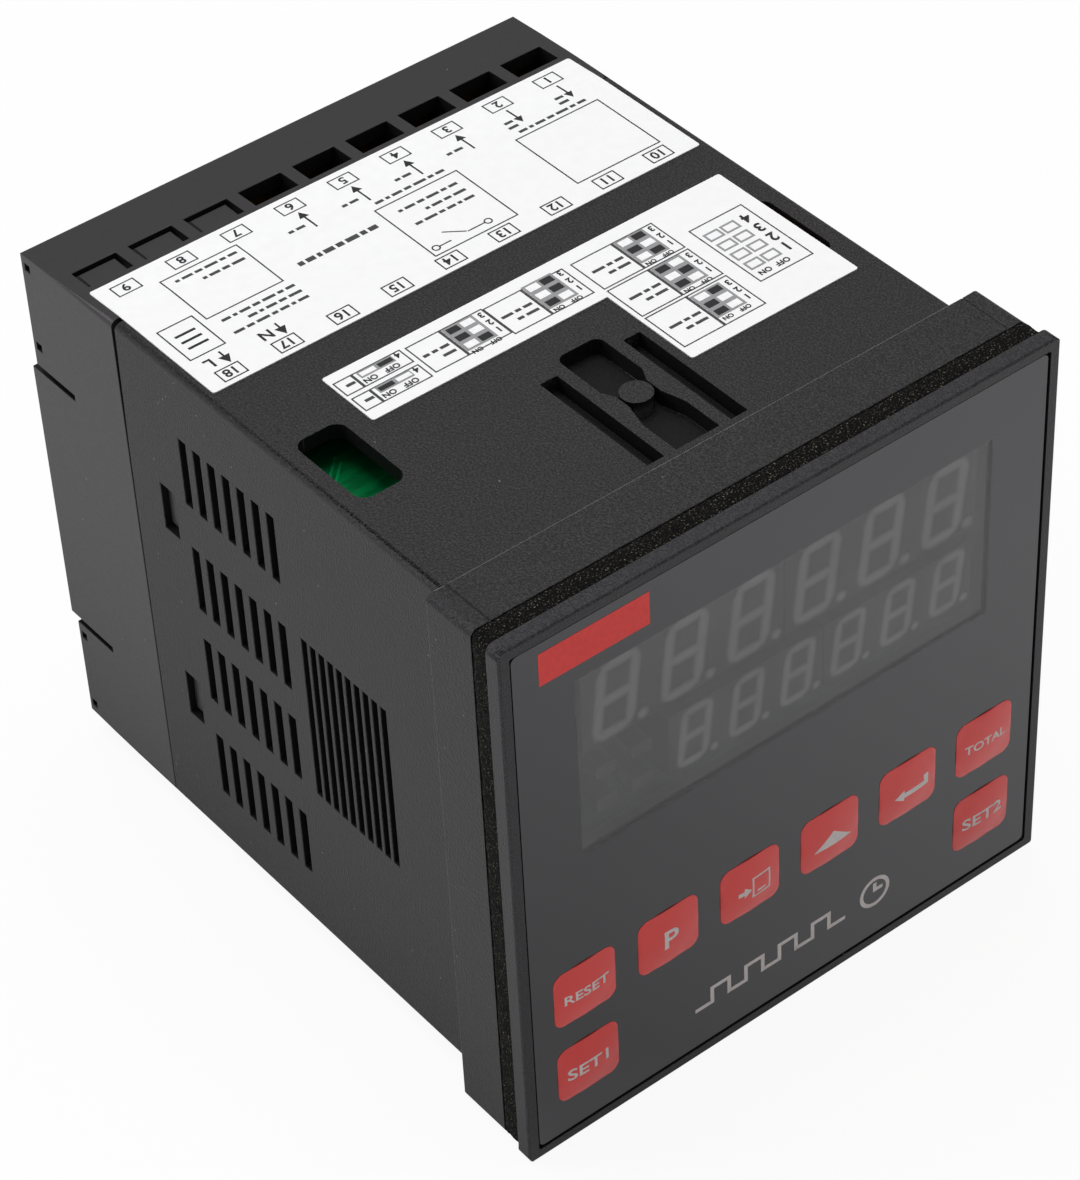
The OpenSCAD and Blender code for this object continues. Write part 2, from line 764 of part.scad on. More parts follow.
// Terminal screw of the upper row with a slotted head
module terminal_screw(x) {
    tip_y = y_slot + slot_d + fit;
    translate([x, 0, screw_z]) difference() {
        union() {
            translate([0, screw_seat_y + screw_head_h, 0]) rotate([90, 0, 0])
                cylinder(h = screw_head_h, d = screw_head_d);
            translate([0, screw_seat_y + eps, 0]) rotate([90, 0, 0])
                cylinder(h = screw_seat_y - tip_y, d = screw_d);
        }
        block([-driver_slot_w / 2, screw_seat_y + screw_head_h / 2, -screw_head_d],
              [driver_slot_w / 2, y_rear, screw_head_d]);
    }
}

module upper_contacts() {
    color("#c9b46a") for (i = [0:upper_fitted - 1]) contact(terminal_x(i));
}
module lower_contacts() {
    color("#c9b46a") mirror([0, 0, 1]) for (i = [0:terminal_count - 1]) contact(terminal_x(i));
}
module upper_screws() {
    color("#b9bbbd") for (i = [0:upper_fitted - 1]) terminal_screw(terminal_x(i));
}
module lower_screws() {
    color("#b9bbbd") mirror([0, 0, 1]) for (i = [0:terminal_count - 1]) terminal_screw(terminal_x(i));
}

// Wiring label, stuck over the seam and bent where the cover's top slopes
module wiring_label() {
    wiring_w = body_w - 2 * wiring_margin;
    y1 = y_slot - wiring_inset;
    y0 = y1 - wiring_l;
    color("#f2f2f0") intersection() {
        across(-wiring_w / 2, wiring_w / 2)
            polygon([[y0, body_top], [y_cover, body_top], [y1, top_at(y1)],
                     [y1, top_at(y1) + label_t], [y_cover, body_top + label_t], [y0, body_top + label_t]]);
        translate([0, (y0 + y1) / 2, body_top - wall]) linear_extrude(2 * wall)
            round_rect(wiring_w, wiring_l, label_r);
    }
}

// Settings label, an L shape that covers the right top window
module settings_label() {
    left = settings_left_margin - body_side;
    right = body_side - settings_right_margin;
    color("#f2f2f0") translate([0, 0, body_top]) linear_extrude(label_t) {
        translate([(left + right) / 2, settings_y - settings_strip_l / 2])
            round_rect(right - left, settings_strip_l, label_r);
        translate([right - settings_wide_w / 2, settings_y - settings_l / 2])
            round_rect(settings_wide_w, settings_l, label_r);
    }
}

// Display board behind the bezel's skirt
module display_board() {
    color("#1d6b3a") difference() {
        stand(y_board, y_board_back) square([skirt_w, skirt_h], center = true);
        for (p = POSTS) translate([p[0], y_board_back + over, p[1]]) rotate([90, 0, 0])
            cylinder(h = board_t + 2 * over, d = post_screw_d + fit);
    }
}

// Screws that hold the display board to the bezel's posts
module board_screws() {
    color("#b9bbbd") for (p = POSTS) translate([p[0], y_board_back, p[1]]) {
        translate([0, post_head_h, 0]) rotate([90, 0, 0]) difference() {
            cylinder(h = post_head_h, d = post_head_d);
            for (a = [0, 90]) rotate(a) translate([-cross_w / 2, -cross_l / 2, -eps])
                cube([cross_w, cross_l, cross_depth]);
        }
        translate([0, eps, 0]) rotate([90, 0, 0]) cylinder(h = board_t + post_grip, d = post_screw_d);
    }
}

// Seven segments and a point of one digit of height h, slanted
module segments(h) {
    w = h * digit_aspect;
    bar = h * digit_stroke;
    half = h / 4 - bar * segment_gap;
    lean = tan(digit_slant);
    vertical = [for (sx = [-1, 1], sz = [-1, 1]) [sx * (w - bar) / 2, sz * (h / 4 - bar / 4)]];
    level = [for (sz = [-1, 0, 1]) [0, sz * (h - bar) / 2]];
    flat = w / 2 - bar * segment_gap;
    for (c = vertical) polygon([
        for (p = [[0, half], [bar / 2, half - bar / 2], [bar / 2, -half + bar / 2], [0, -half],
                  [-bar / 2, -half + bar / 2], [-bar / 2, half - bar / 2]])
            [c[0] + p[0] + (c[1] + p[1]) * lean, c[1] + p[1]]]);
    for (c = level) polygon([
        for (p = [[flat, 0], [flat - bar / 2, bar / 2], [-flat + bar / 2, bar / 2], [-flat, 0],
                  [-flat + bar / 2, -bar / 2], [flat - bar / 2, -bar / 2]])
            [c[0] + p[0] + (c[1] + p[1]) * lean, c[1] + p[1]]]);
    dot = bar * point_share;
    translate([w / 2 + dot, -h / 2 + dot]) circle(dot);
}

// A row of digits in two display modules
module digit_row(pitch, h, x, z) {
    y0 = y_bed + digit_gap;
    per = digit_count / 2;
    translate([x, 0, z]) difference() {
        for (s = [-1, 1]) translate([s * per * pitch / 2, 0, 0]) stand(y0, y_board)
            square([per * pitch - 2 * module_gap, h + 2 * digit_border], center = true);
        for (i = [0:digit_count - 1]) translate([(i - (digit_count - 1) / 2) * pitch, 0, 0])
            stand(y0 - eps, y0 + segment_depth) segments(h);
    }
}
module upper_digits() {
    color("#77777a") digit_row(upper_pitch, upper_h, 0, upper_z);
}
module lower_digits() {
    color("#77777a") digit_row(lower_pitch, lower_h, lower_x, lower_z);
}

// Small lamps beside the lower digits
lamp_w = 2.6;
lamp_h = 1.6;
lamp_r = 0.3;
lamp_pitch_x = 4.6;
lamp_pitch_z = 4.4;
module indicator_leds() {
    left = lower_x - digit_count * lower_pitch / 2 - lamp_pitch_x;
    color("#86868a") for (c = [0, 1], r = [-0.5, 0.5])
        translate([left - c * lamp_pitch_x + lamp_w / 2, 0, lower_z + r * lamp_pitch_z])
            stand(y_bed + digit_gap, y_board) round_rect(lamp_w, lamp_h, lamp_r);
}

// Circuit boards that slide in the housing's ribs
board_edge_gap = 0.4;
board_start = y_board_back + post_head_h + fit;
board_w = cavity_w - 2 * board_edge_gap;
module slide_board() {
    block([-board_w / 2, board_start, board_z], [board_w / 2, board_end, board_z + board_t]);
}
module main_board() {
    color("#1d6b3a") slide_board();
}
module power_board() {
    color("#1d6b3a") mirror([0, 0, 1]) slide_board();
}

// Headers that join the two boards to the display board
header_gap = 1;
header_l = 2 * (post_lower_x - post_head_d / 2 - header_gap);
header_h = 2.5;
header_d = 2.2;
module board_headers() {
    color("#1c1c1e") both_faces()
        block([-header_l / 2, y_board_back, board_z - header_h],
              [header_l / 2, board_start + header_d, board_z]);
}

// Controller under the main board
chip_w = 12;
chip_t = 1.6;
chip_r = 0.5;
chip_x = -6;
chip_y = 30;
module controller_chip() {
    color("#262628") translate([chip_x, chip_y, board_z - chip_t]) linear_extrude(chip_t)
        round_rect(chip_w, chip_w, chip_r);
}

// Switch block on the main board, under the right top window
slider_count = 4;
block_gap = 0.45;
block_r = 0.3;
block_w = hatch_w - 2 * block_gap;
block_l = hatch_l - 2 * block_gap;
block_top = body_top - block_drop;
slider_depth = 1.9;
slider_l = 1.1;
module slider_slot(i) {
    w = slider_w + 2 * slider_clear;
    l = slider_l + slider_travel + 2 * slider_clear;
    block([hatch_x - l / 2, slider_y(i) - w / 2, block_top - slider_depth - slider_clear],
          [hatch_x + l / 2, slider_y(i) + w / 2, block_top + over]);
}
module switch_block() {
    color("#9c2f2c") difference() {
        translate([hatch_x, hatch_y, board_z + board_t]) linear_extrude(block_top - board_z - board_t)
            round_rect(block_w, block_l, block_r);
        for (i = [0:slider_count - 1]) slider_slot(i);
    }
}
module slider(i) {
    x0 = hatch_x - (slider_l + slider_travel) / 2;
    knob = block_drop / 3;
    color("#e6e4dc")
        block([x0, slider_y(i) - slider_w / 2, block_top - slider_depth],
              [x0 + slider_l, slider_y(i) + slider_w / 2, block_top + knob]);
}

// Power pieces that stand on the lower board
floor_z = -board_z;
core_w = 20;
core_d = 6;
core_h = 17;
core_leg = 4;
core_yoke = 2.8;
core_x = 12;
core_y = 20;
coil_r = 1.5;
module transformer_core() {
    color("#2c2c30") translate([core_x, core_y, floor_z]) difference() {
        block([-core_w / 2, -core_d / 2, 0], [core_w / 2, core_d / 2, core_h]);
        both_sides() block([core_leg / 2, -core_d, core_yoke],
                           [core_w / 2 - core_leg, core_d, core_h - core_yoke]);
    }
}
module transformer_coil() {
    coil_h = core_h - 2 * (core_yoke + fit);
    coil_w = core_w - 2 * (core_leg + fit);
    coil_d = core_d + core_w - 3 * core_leg;
    color("#c8a23a") translate([core_x, core_y, floor_z + core_yoke + fit]) difference() {
        linear_extrude(coil_h) round_rect(coil_w, coil_d, coil_r);
        translate([0, 0, -eps]) linear_extrude(coil_h + over)
            square([core_leg + 2 * fit, core_d + 2 * fit], center = true);
    }
}
relay_w = 15.2;
relay_l = 19;
relay_h = 15.2;
relay_r = 0.8;
relay_inset = 15.5;
relay_x = relay_inset - cavity_w / 2;
relay_y = 24;
module output_relay() {
    color("#3d4f8a") translate([relay_x, relay_y, floor_z]) linear_extrude(relay_h)
        round_rect(relay_w, relay_l, relay_r);
}

// Capacitors: place across, place behind the panel, diameter, height
CAPACITORS = [[-20, 45, 10, 16], [-6, 46, 8, 12], [14, 44, 10, 16]];
crimp_r = 0.8;
crimp_depth = 0.4;
crimp_z = 2;
module capacitors() {
    color("#3a3f52") for (c = CAPACITORS) translate([c[0], c[1], floor_z]) rotate_extrude() difference() {
        square([c[2] / 2, c[3]]);
        translate([c[2] / 2 + crimp_r - crimp_depth, crimp_z]) circle(crimp_r);
    }
}

front_bezel();
front_overlay();
display_window();
panel_gasket();
housing();
rear_cover();
wiring_label();
settings_label();
display_board();
upper_digits();
lower_digits();
indicator_leds();
switch_cases();
board_screws();
for (k = KEYS) key_pad(k);
for (k = KEYS) key_plunger(k);
main_board();
power_board();
board_headers();
controller_chip();
switch_block();
for (i = [0:slider_count - 1]) slider(i);
transformer_core();
transformer_coil();
output_relay();
capacitors();
upper_contacts();
lower_contacts();
upper_screws();
lower_screws();
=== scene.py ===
"""Looks of a panel counter: softened shells, film front, foam seal, printed labels and studio stage."""

import math

import bmesh
import bpy
from bpy.props import FloatProperty, FloatVectorProperty, PointerProperty
from mathutils import Matrix, Vector, noise
from mathutils.bvhtree import BVHTree


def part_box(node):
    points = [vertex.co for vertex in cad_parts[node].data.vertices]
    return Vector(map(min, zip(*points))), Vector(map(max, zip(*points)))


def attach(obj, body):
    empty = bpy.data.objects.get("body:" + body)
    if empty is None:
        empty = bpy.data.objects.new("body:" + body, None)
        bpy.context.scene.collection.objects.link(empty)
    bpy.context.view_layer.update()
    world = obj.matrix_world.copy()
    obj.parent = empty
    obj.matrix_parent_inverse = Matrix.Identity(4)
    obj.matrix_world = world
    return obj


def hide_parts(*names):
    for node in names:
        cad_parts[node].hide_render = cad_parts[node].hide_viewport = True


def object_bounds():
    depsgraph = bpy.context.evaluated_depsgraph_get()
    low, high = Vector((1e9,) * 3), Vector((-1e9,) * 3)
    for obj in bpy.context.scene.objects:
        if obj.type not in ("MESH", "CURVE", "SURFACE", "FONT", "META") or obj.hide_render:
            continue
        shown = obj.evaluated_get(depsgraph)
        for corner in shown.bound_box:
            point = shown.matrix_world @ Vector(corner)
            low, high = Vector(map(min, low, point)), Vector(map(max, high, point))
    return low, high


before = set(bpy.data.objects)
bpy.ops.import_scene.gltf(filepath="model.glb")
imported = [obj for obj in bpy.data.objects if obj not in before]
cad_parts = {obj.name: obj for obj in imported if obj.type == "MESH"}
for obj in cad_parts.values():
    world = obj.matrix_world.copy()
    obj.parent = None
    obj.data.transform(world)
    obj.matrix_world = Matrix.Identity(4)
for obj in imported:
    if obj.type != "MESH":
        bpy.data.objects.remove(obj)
CAD_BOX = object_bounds()

bl_info = {
    "name": "Panel counter",
    "version": (1, 0, 0),
    "blender": (4, 5, 0),
    "location": "3D View > Sidebar > Counter",
    "description": "Dresses the solids of a panel counter and sets up a studio stage",
    "category": "Object",
}

MM = 0.001
CASE = "case"
COLLAR_REACH = 34.5 * MM
JOIN_DISTANCE = 0.002 * MM

# Terminals and closed wire slots, in millimetres from the middle
TERMINALS_A_ROW = 9
TERMINAL_RIGHT_X = 27.6
TERMINAL_PITCH = 7.04
REAR_ROW_Y = 60.45
FRONT_ROW_Y = 41.45
CLOSED_SLOTS_X = (-14.31, -21.47, -28.62)
CLOSED_SLOT_REACH = 2.75
SLOT_JOINT_WIDTH = 0.5
SLOT_JOINT_Y = (63.6, 66.2)

# Figures of the display: shares of a figure's height or of the width of its bars, then millimetres
DIGITS_A_ROW = 6
DIGIT_ASPECT = 0.57
DIGIT_BAR = 0.165
DIGIT_LEAN = 0.125
DIGIT_CORNER = 0.3
POINT_SHIFT = 0.15
SEGMENT_SOFT = 0.36
DIGIT_EDGE = 0.05
SEGMENT_THICKNESS = 0.03
SEGMENT_CORE = "segment_core"

# Print, in millimetres: on the front seen from the front, on the labels seen from above
THIN_LINE = 0.16
WORD_LINE = 0.42
WORD_LENGTHS = (1.1, 0.7, 1.6, 0.9, 1.3, 0.5)
WORD_GAP = 0.34
LABEL_TURN = math.pi
LEGEND_BOLD = 0.02
LEGEND_CELL = 0.4
INK_JOIN = 0.0005
CUT_TOLERANCE = 1e-5
FRONT_FIELD = (-31.3, 29.1, -17.75, 33.2)

# Lettering on the keys: text, height and stretch
KEY_LEGENDS = {
    "reset": ("RESET", 1.3, 1.25),
    "set_1": ("SET1", 1.62, 1.3),
    "program": ("P", 2.6, 1.15),
    "total": ("TOTAL", 1.2, 1.12),
    "set_2": ("SET2", 1.62, 1.3),
}
# Signs on the keys, from the middle of the key: boxes and bars (left, low, right, high),
# and a wedge (tip across, tip up, width, length, heading)
KEY_SIGNS = {
    "shift": {
        "boxes": ((0.0, -1.7, 2.55, 1.2),),
        "bars": ((0.7, -1.15, 1.85, -0.9), (-1.85, -0.63, -1.05, -0.07)),
        "wedge": (-0.1, -0.35, 1.4, 0.95, 0.0),
    },
    "up": {"boxes": (), "bars": (), "wedge": (0.2, 0.8, 5.2, 2.0, math.pi / 2)},
    "enter": {
        "boxes": (),
        "bars": ((-0.8, -0.9, 2.75, -0.2), (2.05, -0.2, 2.75, 0.65)),
        "wedge": (-2.1, -0.55, 1.6, 1.3, math.pi),
    },
}
SIGN_LINE = 0.22


# Settings

def metres(name, description, default):
    return FloatProperty(name=name, description=description, default=default, unit="LENGTH")


def fraction(name, description, default):
    return FloatProperty(
        name=name, description=description, default=default, min=0.0, max=1.0, subtype="FACTOR")


def watts(name, description, default):
    return FloatProperty(
        name=name, description=description, default=default, subtype="POWER", unit="POWER")


def tone(name, description, *default):
    return FloatVectorProperty(name=name, description=description, default=default, subtype="COLOR")


class CounterForm(bpy.types.PropertyGroup):
    """Sizes of the parts of the look that the solids leave open."""

    edge_soft: metres("Edge softness", "Width of the softened edges of the mouldings", 0.1 * MM)
    edge_angle: FloatProperty(
        name="Edge angle", description="Edges that turn by more than this are softened",
        default=math.radians(30), subtype="ANGLE", unit="ROTATION")
    shortest_edge: metres("Shortest edge", "Edges shorter than this stay sharp", 0.3 * MM)
    foam_cell: metres("Foam cell", "Size of the cells in the cut face of the seal", 0.36 * MM)
    foam_relief: metres("Foam relief", "Depth of the pores in the cut face of the seal", 0.22 * MM)
    pad_widening: metres("Pad widening", "How far a key pad reaches into the gap round it", 0.09 * MM)
    pad_rim: metres("Pad rim", "Width of the rounded rim of a key pad", 0.05 * MM)
    ink_thickness: metres("Ink thickness", "Thickness of the print on the labels and the film", 0.02 * MM)
    trace_thickness: metres("Trace thickness", "Thickness of the traces on the boards", 0.06 * MM)


class CounterColours(bpy.types.PropertyGroup):
    """Colours of the finishes."""

    housing: tone("Housing", "Grained black moulding", 0.009, 0.009, 0.009)
    cover: tone("Rear cover", "Satin black moulding", 0.013, 0.013, 0.013)
    bezel: tone("Bezel", "Black front moulding", 0.010, 0.010, 0.011)
    film: tone("Film", "Dark printed film", 0.006, 0.006, 0.007)
    window: tone("Window", "Smoked area of the film", 0.165, 0.165, 0.168)
    window_cover: fraction("Window cover", "Share of the light that each face of the window stops", 0.4)
    keys: tone("Keys", "Red key pads", 0.71, 0.036, 0.030)
    legend: tone("Legends", "Pale print on keys and film", 0.62, 0.57, 0.56)
    foam: tone("Seal", "Black foam of the seal", 0.004, 0.0037, 0.0033)
    label: tone("Labels", "White label stock", 0.925, 0.925, 0.93)
    ink: tone("Ink", "Black print on the labels", 0.012, 0.012, 0.013)
    board: tone("Boards", "Green solder mask", 0.001, 0.15, 0.042)


class CounterStage(bpy.types.PropertyGroup):
    """Floor, light and camera."""

    floor_height: metres("Floor height", "Level of the floor under the bezel", CAD_BOX[0].z - 0.05 * MM)
    floor_white: fraction("Floor white", "Share of plain white in the floor that the camera sees", 0.92)
    # painted shade: the floor seen in reflections is dimmer near the part
    floor_mirrored: fraction("Mirrored floor", "Brightness of the mirrored floor near the part", 0.5)
    sky_mirrored: fraction("Mirrored sky white", "Share of plain white in the mirrored sky", 0.05)
    sky_light: fraction("Sky light", "Strength of the light from behind on the right", 0.46)
    sky_dim: fraction("Dim sky light", "Strength of the light from the front on the left", 0.16)
    main_light: watts("Main light", "Power of the soft light overhead", 12.0)
    side_light: watts("Side light", "Power of the soft light behind on the left", 4.0)
    edge_light: watts("Edge light", "Power of the small light in front on the right", 0.8)
    camera_place: FloatVectorProperty(
        name="Camera place", description="Where the camera stands", subtype="TRANSLATION", unit="LENGTH",
        default=(-0.19576, -0.23373, 0.28739))
    camera_turn: FloatVectorProperty(
        name="Camera turn", description="Which way the camera looks", subtype="EULER", unit="ROTATION",
        default=(math.radians(48.297), math.radians(2.315), math.radians(-38.665)))
    camera_lens: FloatProperty(
        name="Camera lens", description="Focal length in millimetres", default=134.32, unit="CAMERA")


def form():
    return bpy.context.scene.counter_form


def colours():
    return bpy.context.scene.counter_colours


def stage_settings():
    return bpy.context.scene.counter_stage


# Finishes

EVEN = (1.0, 1.0, 1.0)
NOISE_RANGE = (0.3, 0.7)


def feed(node, inputs):
    """Puts plain or linked values on a node's inputs."""
    for key, value in inputs.items():
        if isinstance(value, bpy.types.NodeSocket):
            node.id_data.links.new(value, node.inputs[key])
        else:
            node.inputs[key].default_value = value


def add_node(tree, kind, inputs, operation=None):
    """A shader node's outputs, with values on its inputs."""
    node = tree.nodes.new(f"ShaderNode{kind}")
    if operation:
        node.operation = operation
    feed(node, inputs)
    return node.outputs


def combined(tree, operation, *values):
    """A calculation with linked or plain values."""
    return add_node(tree, "Math", dict(enumerate(values)), operation)["Value"]


def mapped(tree, value, start, end, low, high):
    """A value taken from one range to another."""
    ranges = {"From Min": start, "From Max": end, "To Min": low, "To Max": high}
    return add_node(tree, "MapRange", {"Value": value, **ranges})["Result"]


class Finish:
    """Node tree of one material, with its patterns on Object coordinates."""

    def __init__(self, name, colour, roughness, specular=0.5, metallic=0.0):
        self.material = bpy.data.materials.new(name)
        self.material.use_nodes = True
        self.tree = self.material.node_tree
        self.shader = self.tree.nodes["Principled BSDF"]
        self.place = add_node(self.tree, "TexCoord", {})["Object"]
        self.set("Base Color", (*colour, 1.0)).set("Roughness", roughness)
        self.set("Specular IOR Level", specular).set("Metallic", metallic)

    def set(self, socket, value):
        """Puts a plain or linked value on one of the shader's sockets."""
        feed(self.shader, {socket: value})
        return self

    def noise(self, scale, detail=2.0, stretch=EVEN):
        """Soft noise whose cells are about 1 / scale metres wide."""
        place = add_node(self.tree, "Mapping", {"Vector": self.place, "Scale": stretch})["Vector"]
        return add_node(self.tree, "TexNoise", {"Vector": place, "Scale": scale, "Detail": detail})["Fac"]

    def ramp(self, value, stops):
        """Colour ramp through (position, colour) stops."""
        node = self.tree.nodes.new("ShaderNodeValToRGB")
        feed(node, {"Fac": value})
        band = node.color_ramp.elements
        while len(band) < len(stops):
            band.new(0.5)
        for element, (position, colour) in zip(band, stops):
            element.position = position
            element.color = (*colour, 1.0)
        return node.outputs["Color"]

    def grain(self, scale, depth, strength=0.6, detail=2.0, stretch=EVEN):
        """Relief of the surface."""
        height = self.noise(scale, detail, stretch)
        bump = add_node(self.tree, "Bump", {"Strength": strength, "Distance": depth, "Height": height})
        return self.set("Normal", bump["Normal"])

    def mottle(self, scale, stops, detail=2.0, stretch=EVEN):
        """Colour that varies over the surface."""
        return self.set("Base Color", self.ramp(self.noise(scale, detail, stretch), stops))

    def specks(self, scale, size, share, colour):
        """Sparse specks of lint: a share of round spots, in cells 1 / scale metres wide."""
        cells = add_node(self.tree, "TexVoronoi", {"Vector": self.place, "Scale": scale})
        draw = add_node(self.tree, "SeparateColor", {"Color": cells["Color"]})["Red"]
        spot = combined(self.tree, "LESS_THAN", cells["Distance"], size)
        chosen = combined(self.tree, "LESS_THAN", draw, share)
        plain = self.shader.inputs["Base Color"].links[0].from_socket
        mixed = self.tree.nodes.new("ShaderNodeMix")
        mixed.data_type = "RGBA"
        both = combined(self.tree, "MULTIPLY", spot, chosen)
        feed(mixed, {"Factor": both, "A": plain, "B": (*colour, 1.0)})
        return self.set("Base Color", mixed.outputs["Result"])

    def tint(self, colour):
        """Colour of the gloss."""
        return self.set("Specular Tint", (*colour, 1.0))

    def gloss(self, scale, low, high, stretch=EVEN):
        """Roughness that varies over the surface."""
        value = self.noise(scale, 3.0, stretch)
        return self.set("Roughness", mapped(self.tree, value, *NOISE_RANGE, low, high))


LINT = (0.20, 0.195, 0.185)
LINT_CELLS = 900
GRAIN_CELLS = 4600
RELIEF_CELLS = 4000
BLACK_GLOSS = (1.0, 0.94, 1.0)
FILM_GLOSS = (0.95, 0.95, 1.0)
FOAM_OLIVE = (0.031, 0.029, 0.024)
FOAM_STRAW = (0.19, 0.17, 0.13)
RESIN = (0.6, 0.6, 0.58)
RESIN_EDGE = (0.03, 0.03, 0.03)
RESIN_HALF = (0.36, 0.36, 0.35)
RESIN_CORE = (0.60, 0.59, 0.57)
TRACE_LIFT = 2.0


def shade(colour, factor):
    return tuple(c * factor for c in colour)


def shades(colour, *stops):
    """Ramp through (position, factor) shades of a colour."""
    return [(position, shade(colour, factor)) for position, factor in stops]


def housing_plastic(name):
    colour = colours().housing
    made = Finish(name, colour, 0.52, specular=0.37).tint(BLACK_GLOSS)
    stops = shades(colour, (0.36, 0.1), (0.50, 1.0), (0.64, 3.2), (0.78, 5.0))
    made.mottle(GRAIN_CELLS, stops, detail=1.0).specks(LINT_CELLS, 0.09, 0.010, LINT)
    return made.gloss(GRAIN_CELLS, 0.40, 0.64).grain(RELIEF_CELLS, 0.12 * MM, 1.0, detail=1.0).material


def cavity_plastic(name):
    """Painted shade: a smooth, dull plastic, darker than the housing, for the inside of slots and pockets
    where shade falls; it also colours dark joints.
    """
    # painted shade: the housing colour, darkened
    colour = shade(colours().housing, 0.6)
    made = Finish(name, colour, 0.6, specular=0.18).tint(BLACK_GLOSS)
    stops = shades(colour, (0.36, 0.6), (0.64, 1.5))
    made.mottle(GRAIN_CELLS, stops).specks(LINT_CELLS, 0.10, 0.020, LINT)
    return made.gloss(GRAIN_CELLS, 0.55, 0.65).grain(4400, 0.02 * MM, 0.6).material


def cover_plastic(name):
    colour = colours().cover
    made = Finish(name, colour, 0.46, specular=0.54).tint(BLACK_GLOSS)
    made.mottle(3200, shades(colour, (0.35, 0.8), (0.65, 1.25))).specks(LINT_CELLS, 0.08, 0.004, LINT)
    return made.gloss(3200, 0.42, 0.50).grain(4200, 0.018 * MM, 0.6).material


def bezel_plastic(name):
    colour = colours().bezel
    made = Finish(name, colour, 0.5, specular=0.42).tint(BLACK_GLOSS)
    stops = shades(colour, (0.36, 0.2), (0.50, 1.0), (0.64, 2.6))
    made.mottle(GRAIN_CELLS, stops, detail=1.0).specks(LINT_CELLS, 0.08, 0.008, LINT)
    return made.gloss(GRAIN_CELLS, 0.40, 0.60).grain(RELIEF_CELLS, 0.11 * MM, 1.0, detail=1.0).material


def overlay_film(name):
    colour = colours().film
    made = Finish(name, colour, 0.24, specular=0.76).tint(FILM_GLOSS)
    made.mottle(60, shades(colour, (0.35, 0.85), (0.65, 1.2)))
    return made.gloss(90, 0.21, 0.27).grain(5200, 0.006 * MM, 0.35).material


def smoked_window(name):
    colour = colours().window
    made = Finish(name, colour, 0.24, specular=1.0)
    made.set("Alpha", colours().window_cover).mottle(70, shades(colour, (0.35, 0.92), (0.65, 1.1)))
    return made.gloss(90, 0.21, 0.27).grain(5200, 0.006 * MM, 0.35).material


def key_film(name):
    colour = colours().keys
    made = Finish(name, colour, 0.26, specular=0.55)
    made.mottle(420, shades(colour, (0.35, 0.99), (0.65, 1.01)))
    return made.gloss(160, 0.25, 0.27).grain(4200, 0.006 * MM, 0.35).material


def sealing_foam(name):
    colour = colours().foam
    stops = [*shades(colour, (0.50, 0.2), (0.58, 1.0)), (0.66, FOAM_OLIVE), (0.76, FOAM_STRAW)]
    made = Finish(name, colour, 0.85, specular=0.12)
    return made.mottle(5000, stops, detail=1.0).grain(5200, 0.12 * MM, 1.0, detail=1.0).material


def label_paper(name):
    colour = colours().label
    made = Finish(name, colour, 0.55, specular=0.35)
    made.mottle(700, shades(colour, (0.3, 0.985), (0.7, 1.01)))
    return made.gloss(300, 0.5, 0.6).grain(2500, 0.004 * MM, 0.3).material


def segment_resin(name):
    """Pale resin that dims towards the edge of a segment."""
    made = Finish(name, RESIN, 0.4, specular=0.3)
    core = made.tree.nodes.new("ShaderNodeAttribute")
    core.attribute_name = SEGMENT_CORE
    stops = [(0.0, RESIN_EDGE), (0.5, RESIN_HALF), (1.0, RESIN_CORE)]
    made.set("Base Color", made.ramp(core.outputs["Fac"], stops))
    return made.gloss(700, 0.35, 0.45).grain(2400, 0.01 * MM).material


def ink(name, colour):
    """Print, in a colour or the name of its setting."""
    colour = getattr(colours(), colour) if isinstance(colour, str) else colour
    made = Finish(name, colour, 0.5, specular=0.35)
    return made.mottle(1500, shades(colour, (0.35, 0.96), (0.65, 1.04))).gloss(800, 0.45, 0.55).material


def circuit_board(name):
    colour = colours().board
    made = Finish(name, colour, 0.3, specular=0.12)
    made.mottle(320, shades(colour, (0.40, 0.75), (0.58, 1.15)), stretch=(1, 3, 1))
    return made.gloss(260, 0.25, 0.38).grain(900, 0.02 * MM, 0.4).material


def board_trace(name):
    colour = shade(colours().board, TRACE_LIFT)
    made = Finish(name, colour, 0.3).mottle(600, shades(colour, (0.35, 0.85), (0.65, 1.15)))
    return made.gloss(300, 0.25, 0.35).material


def moulding(name, colour, roughness=0.45):
    """Plain small moulding with a fine grain."""
    made = Finish(name, colour, roughness, specular=0.45)
    made.mottle(1200, shades(colour, (0.35, 0.85), (0.65, 1.15)))
    return made.gloss(400, roughness - 0.05, roughness + 0.07).grain(2400, 0.01 * MM).material


def brushed_metal(name, colour, roughness, stretch):
    """Bare metal with fine drawing marks."""
    made = Finish(name, colour, roughness, metallic=1.0)
    made.mottle(900, shades(colour, (0.35, 0.8), (0.65, 1.1)), stretch=stretch)
    made.gloss(700, roughness - 0.08, roughness + 0.1, stretch)
    return made.grain(1800, 0.006 * MM, 0.4, stretch=stretch).material


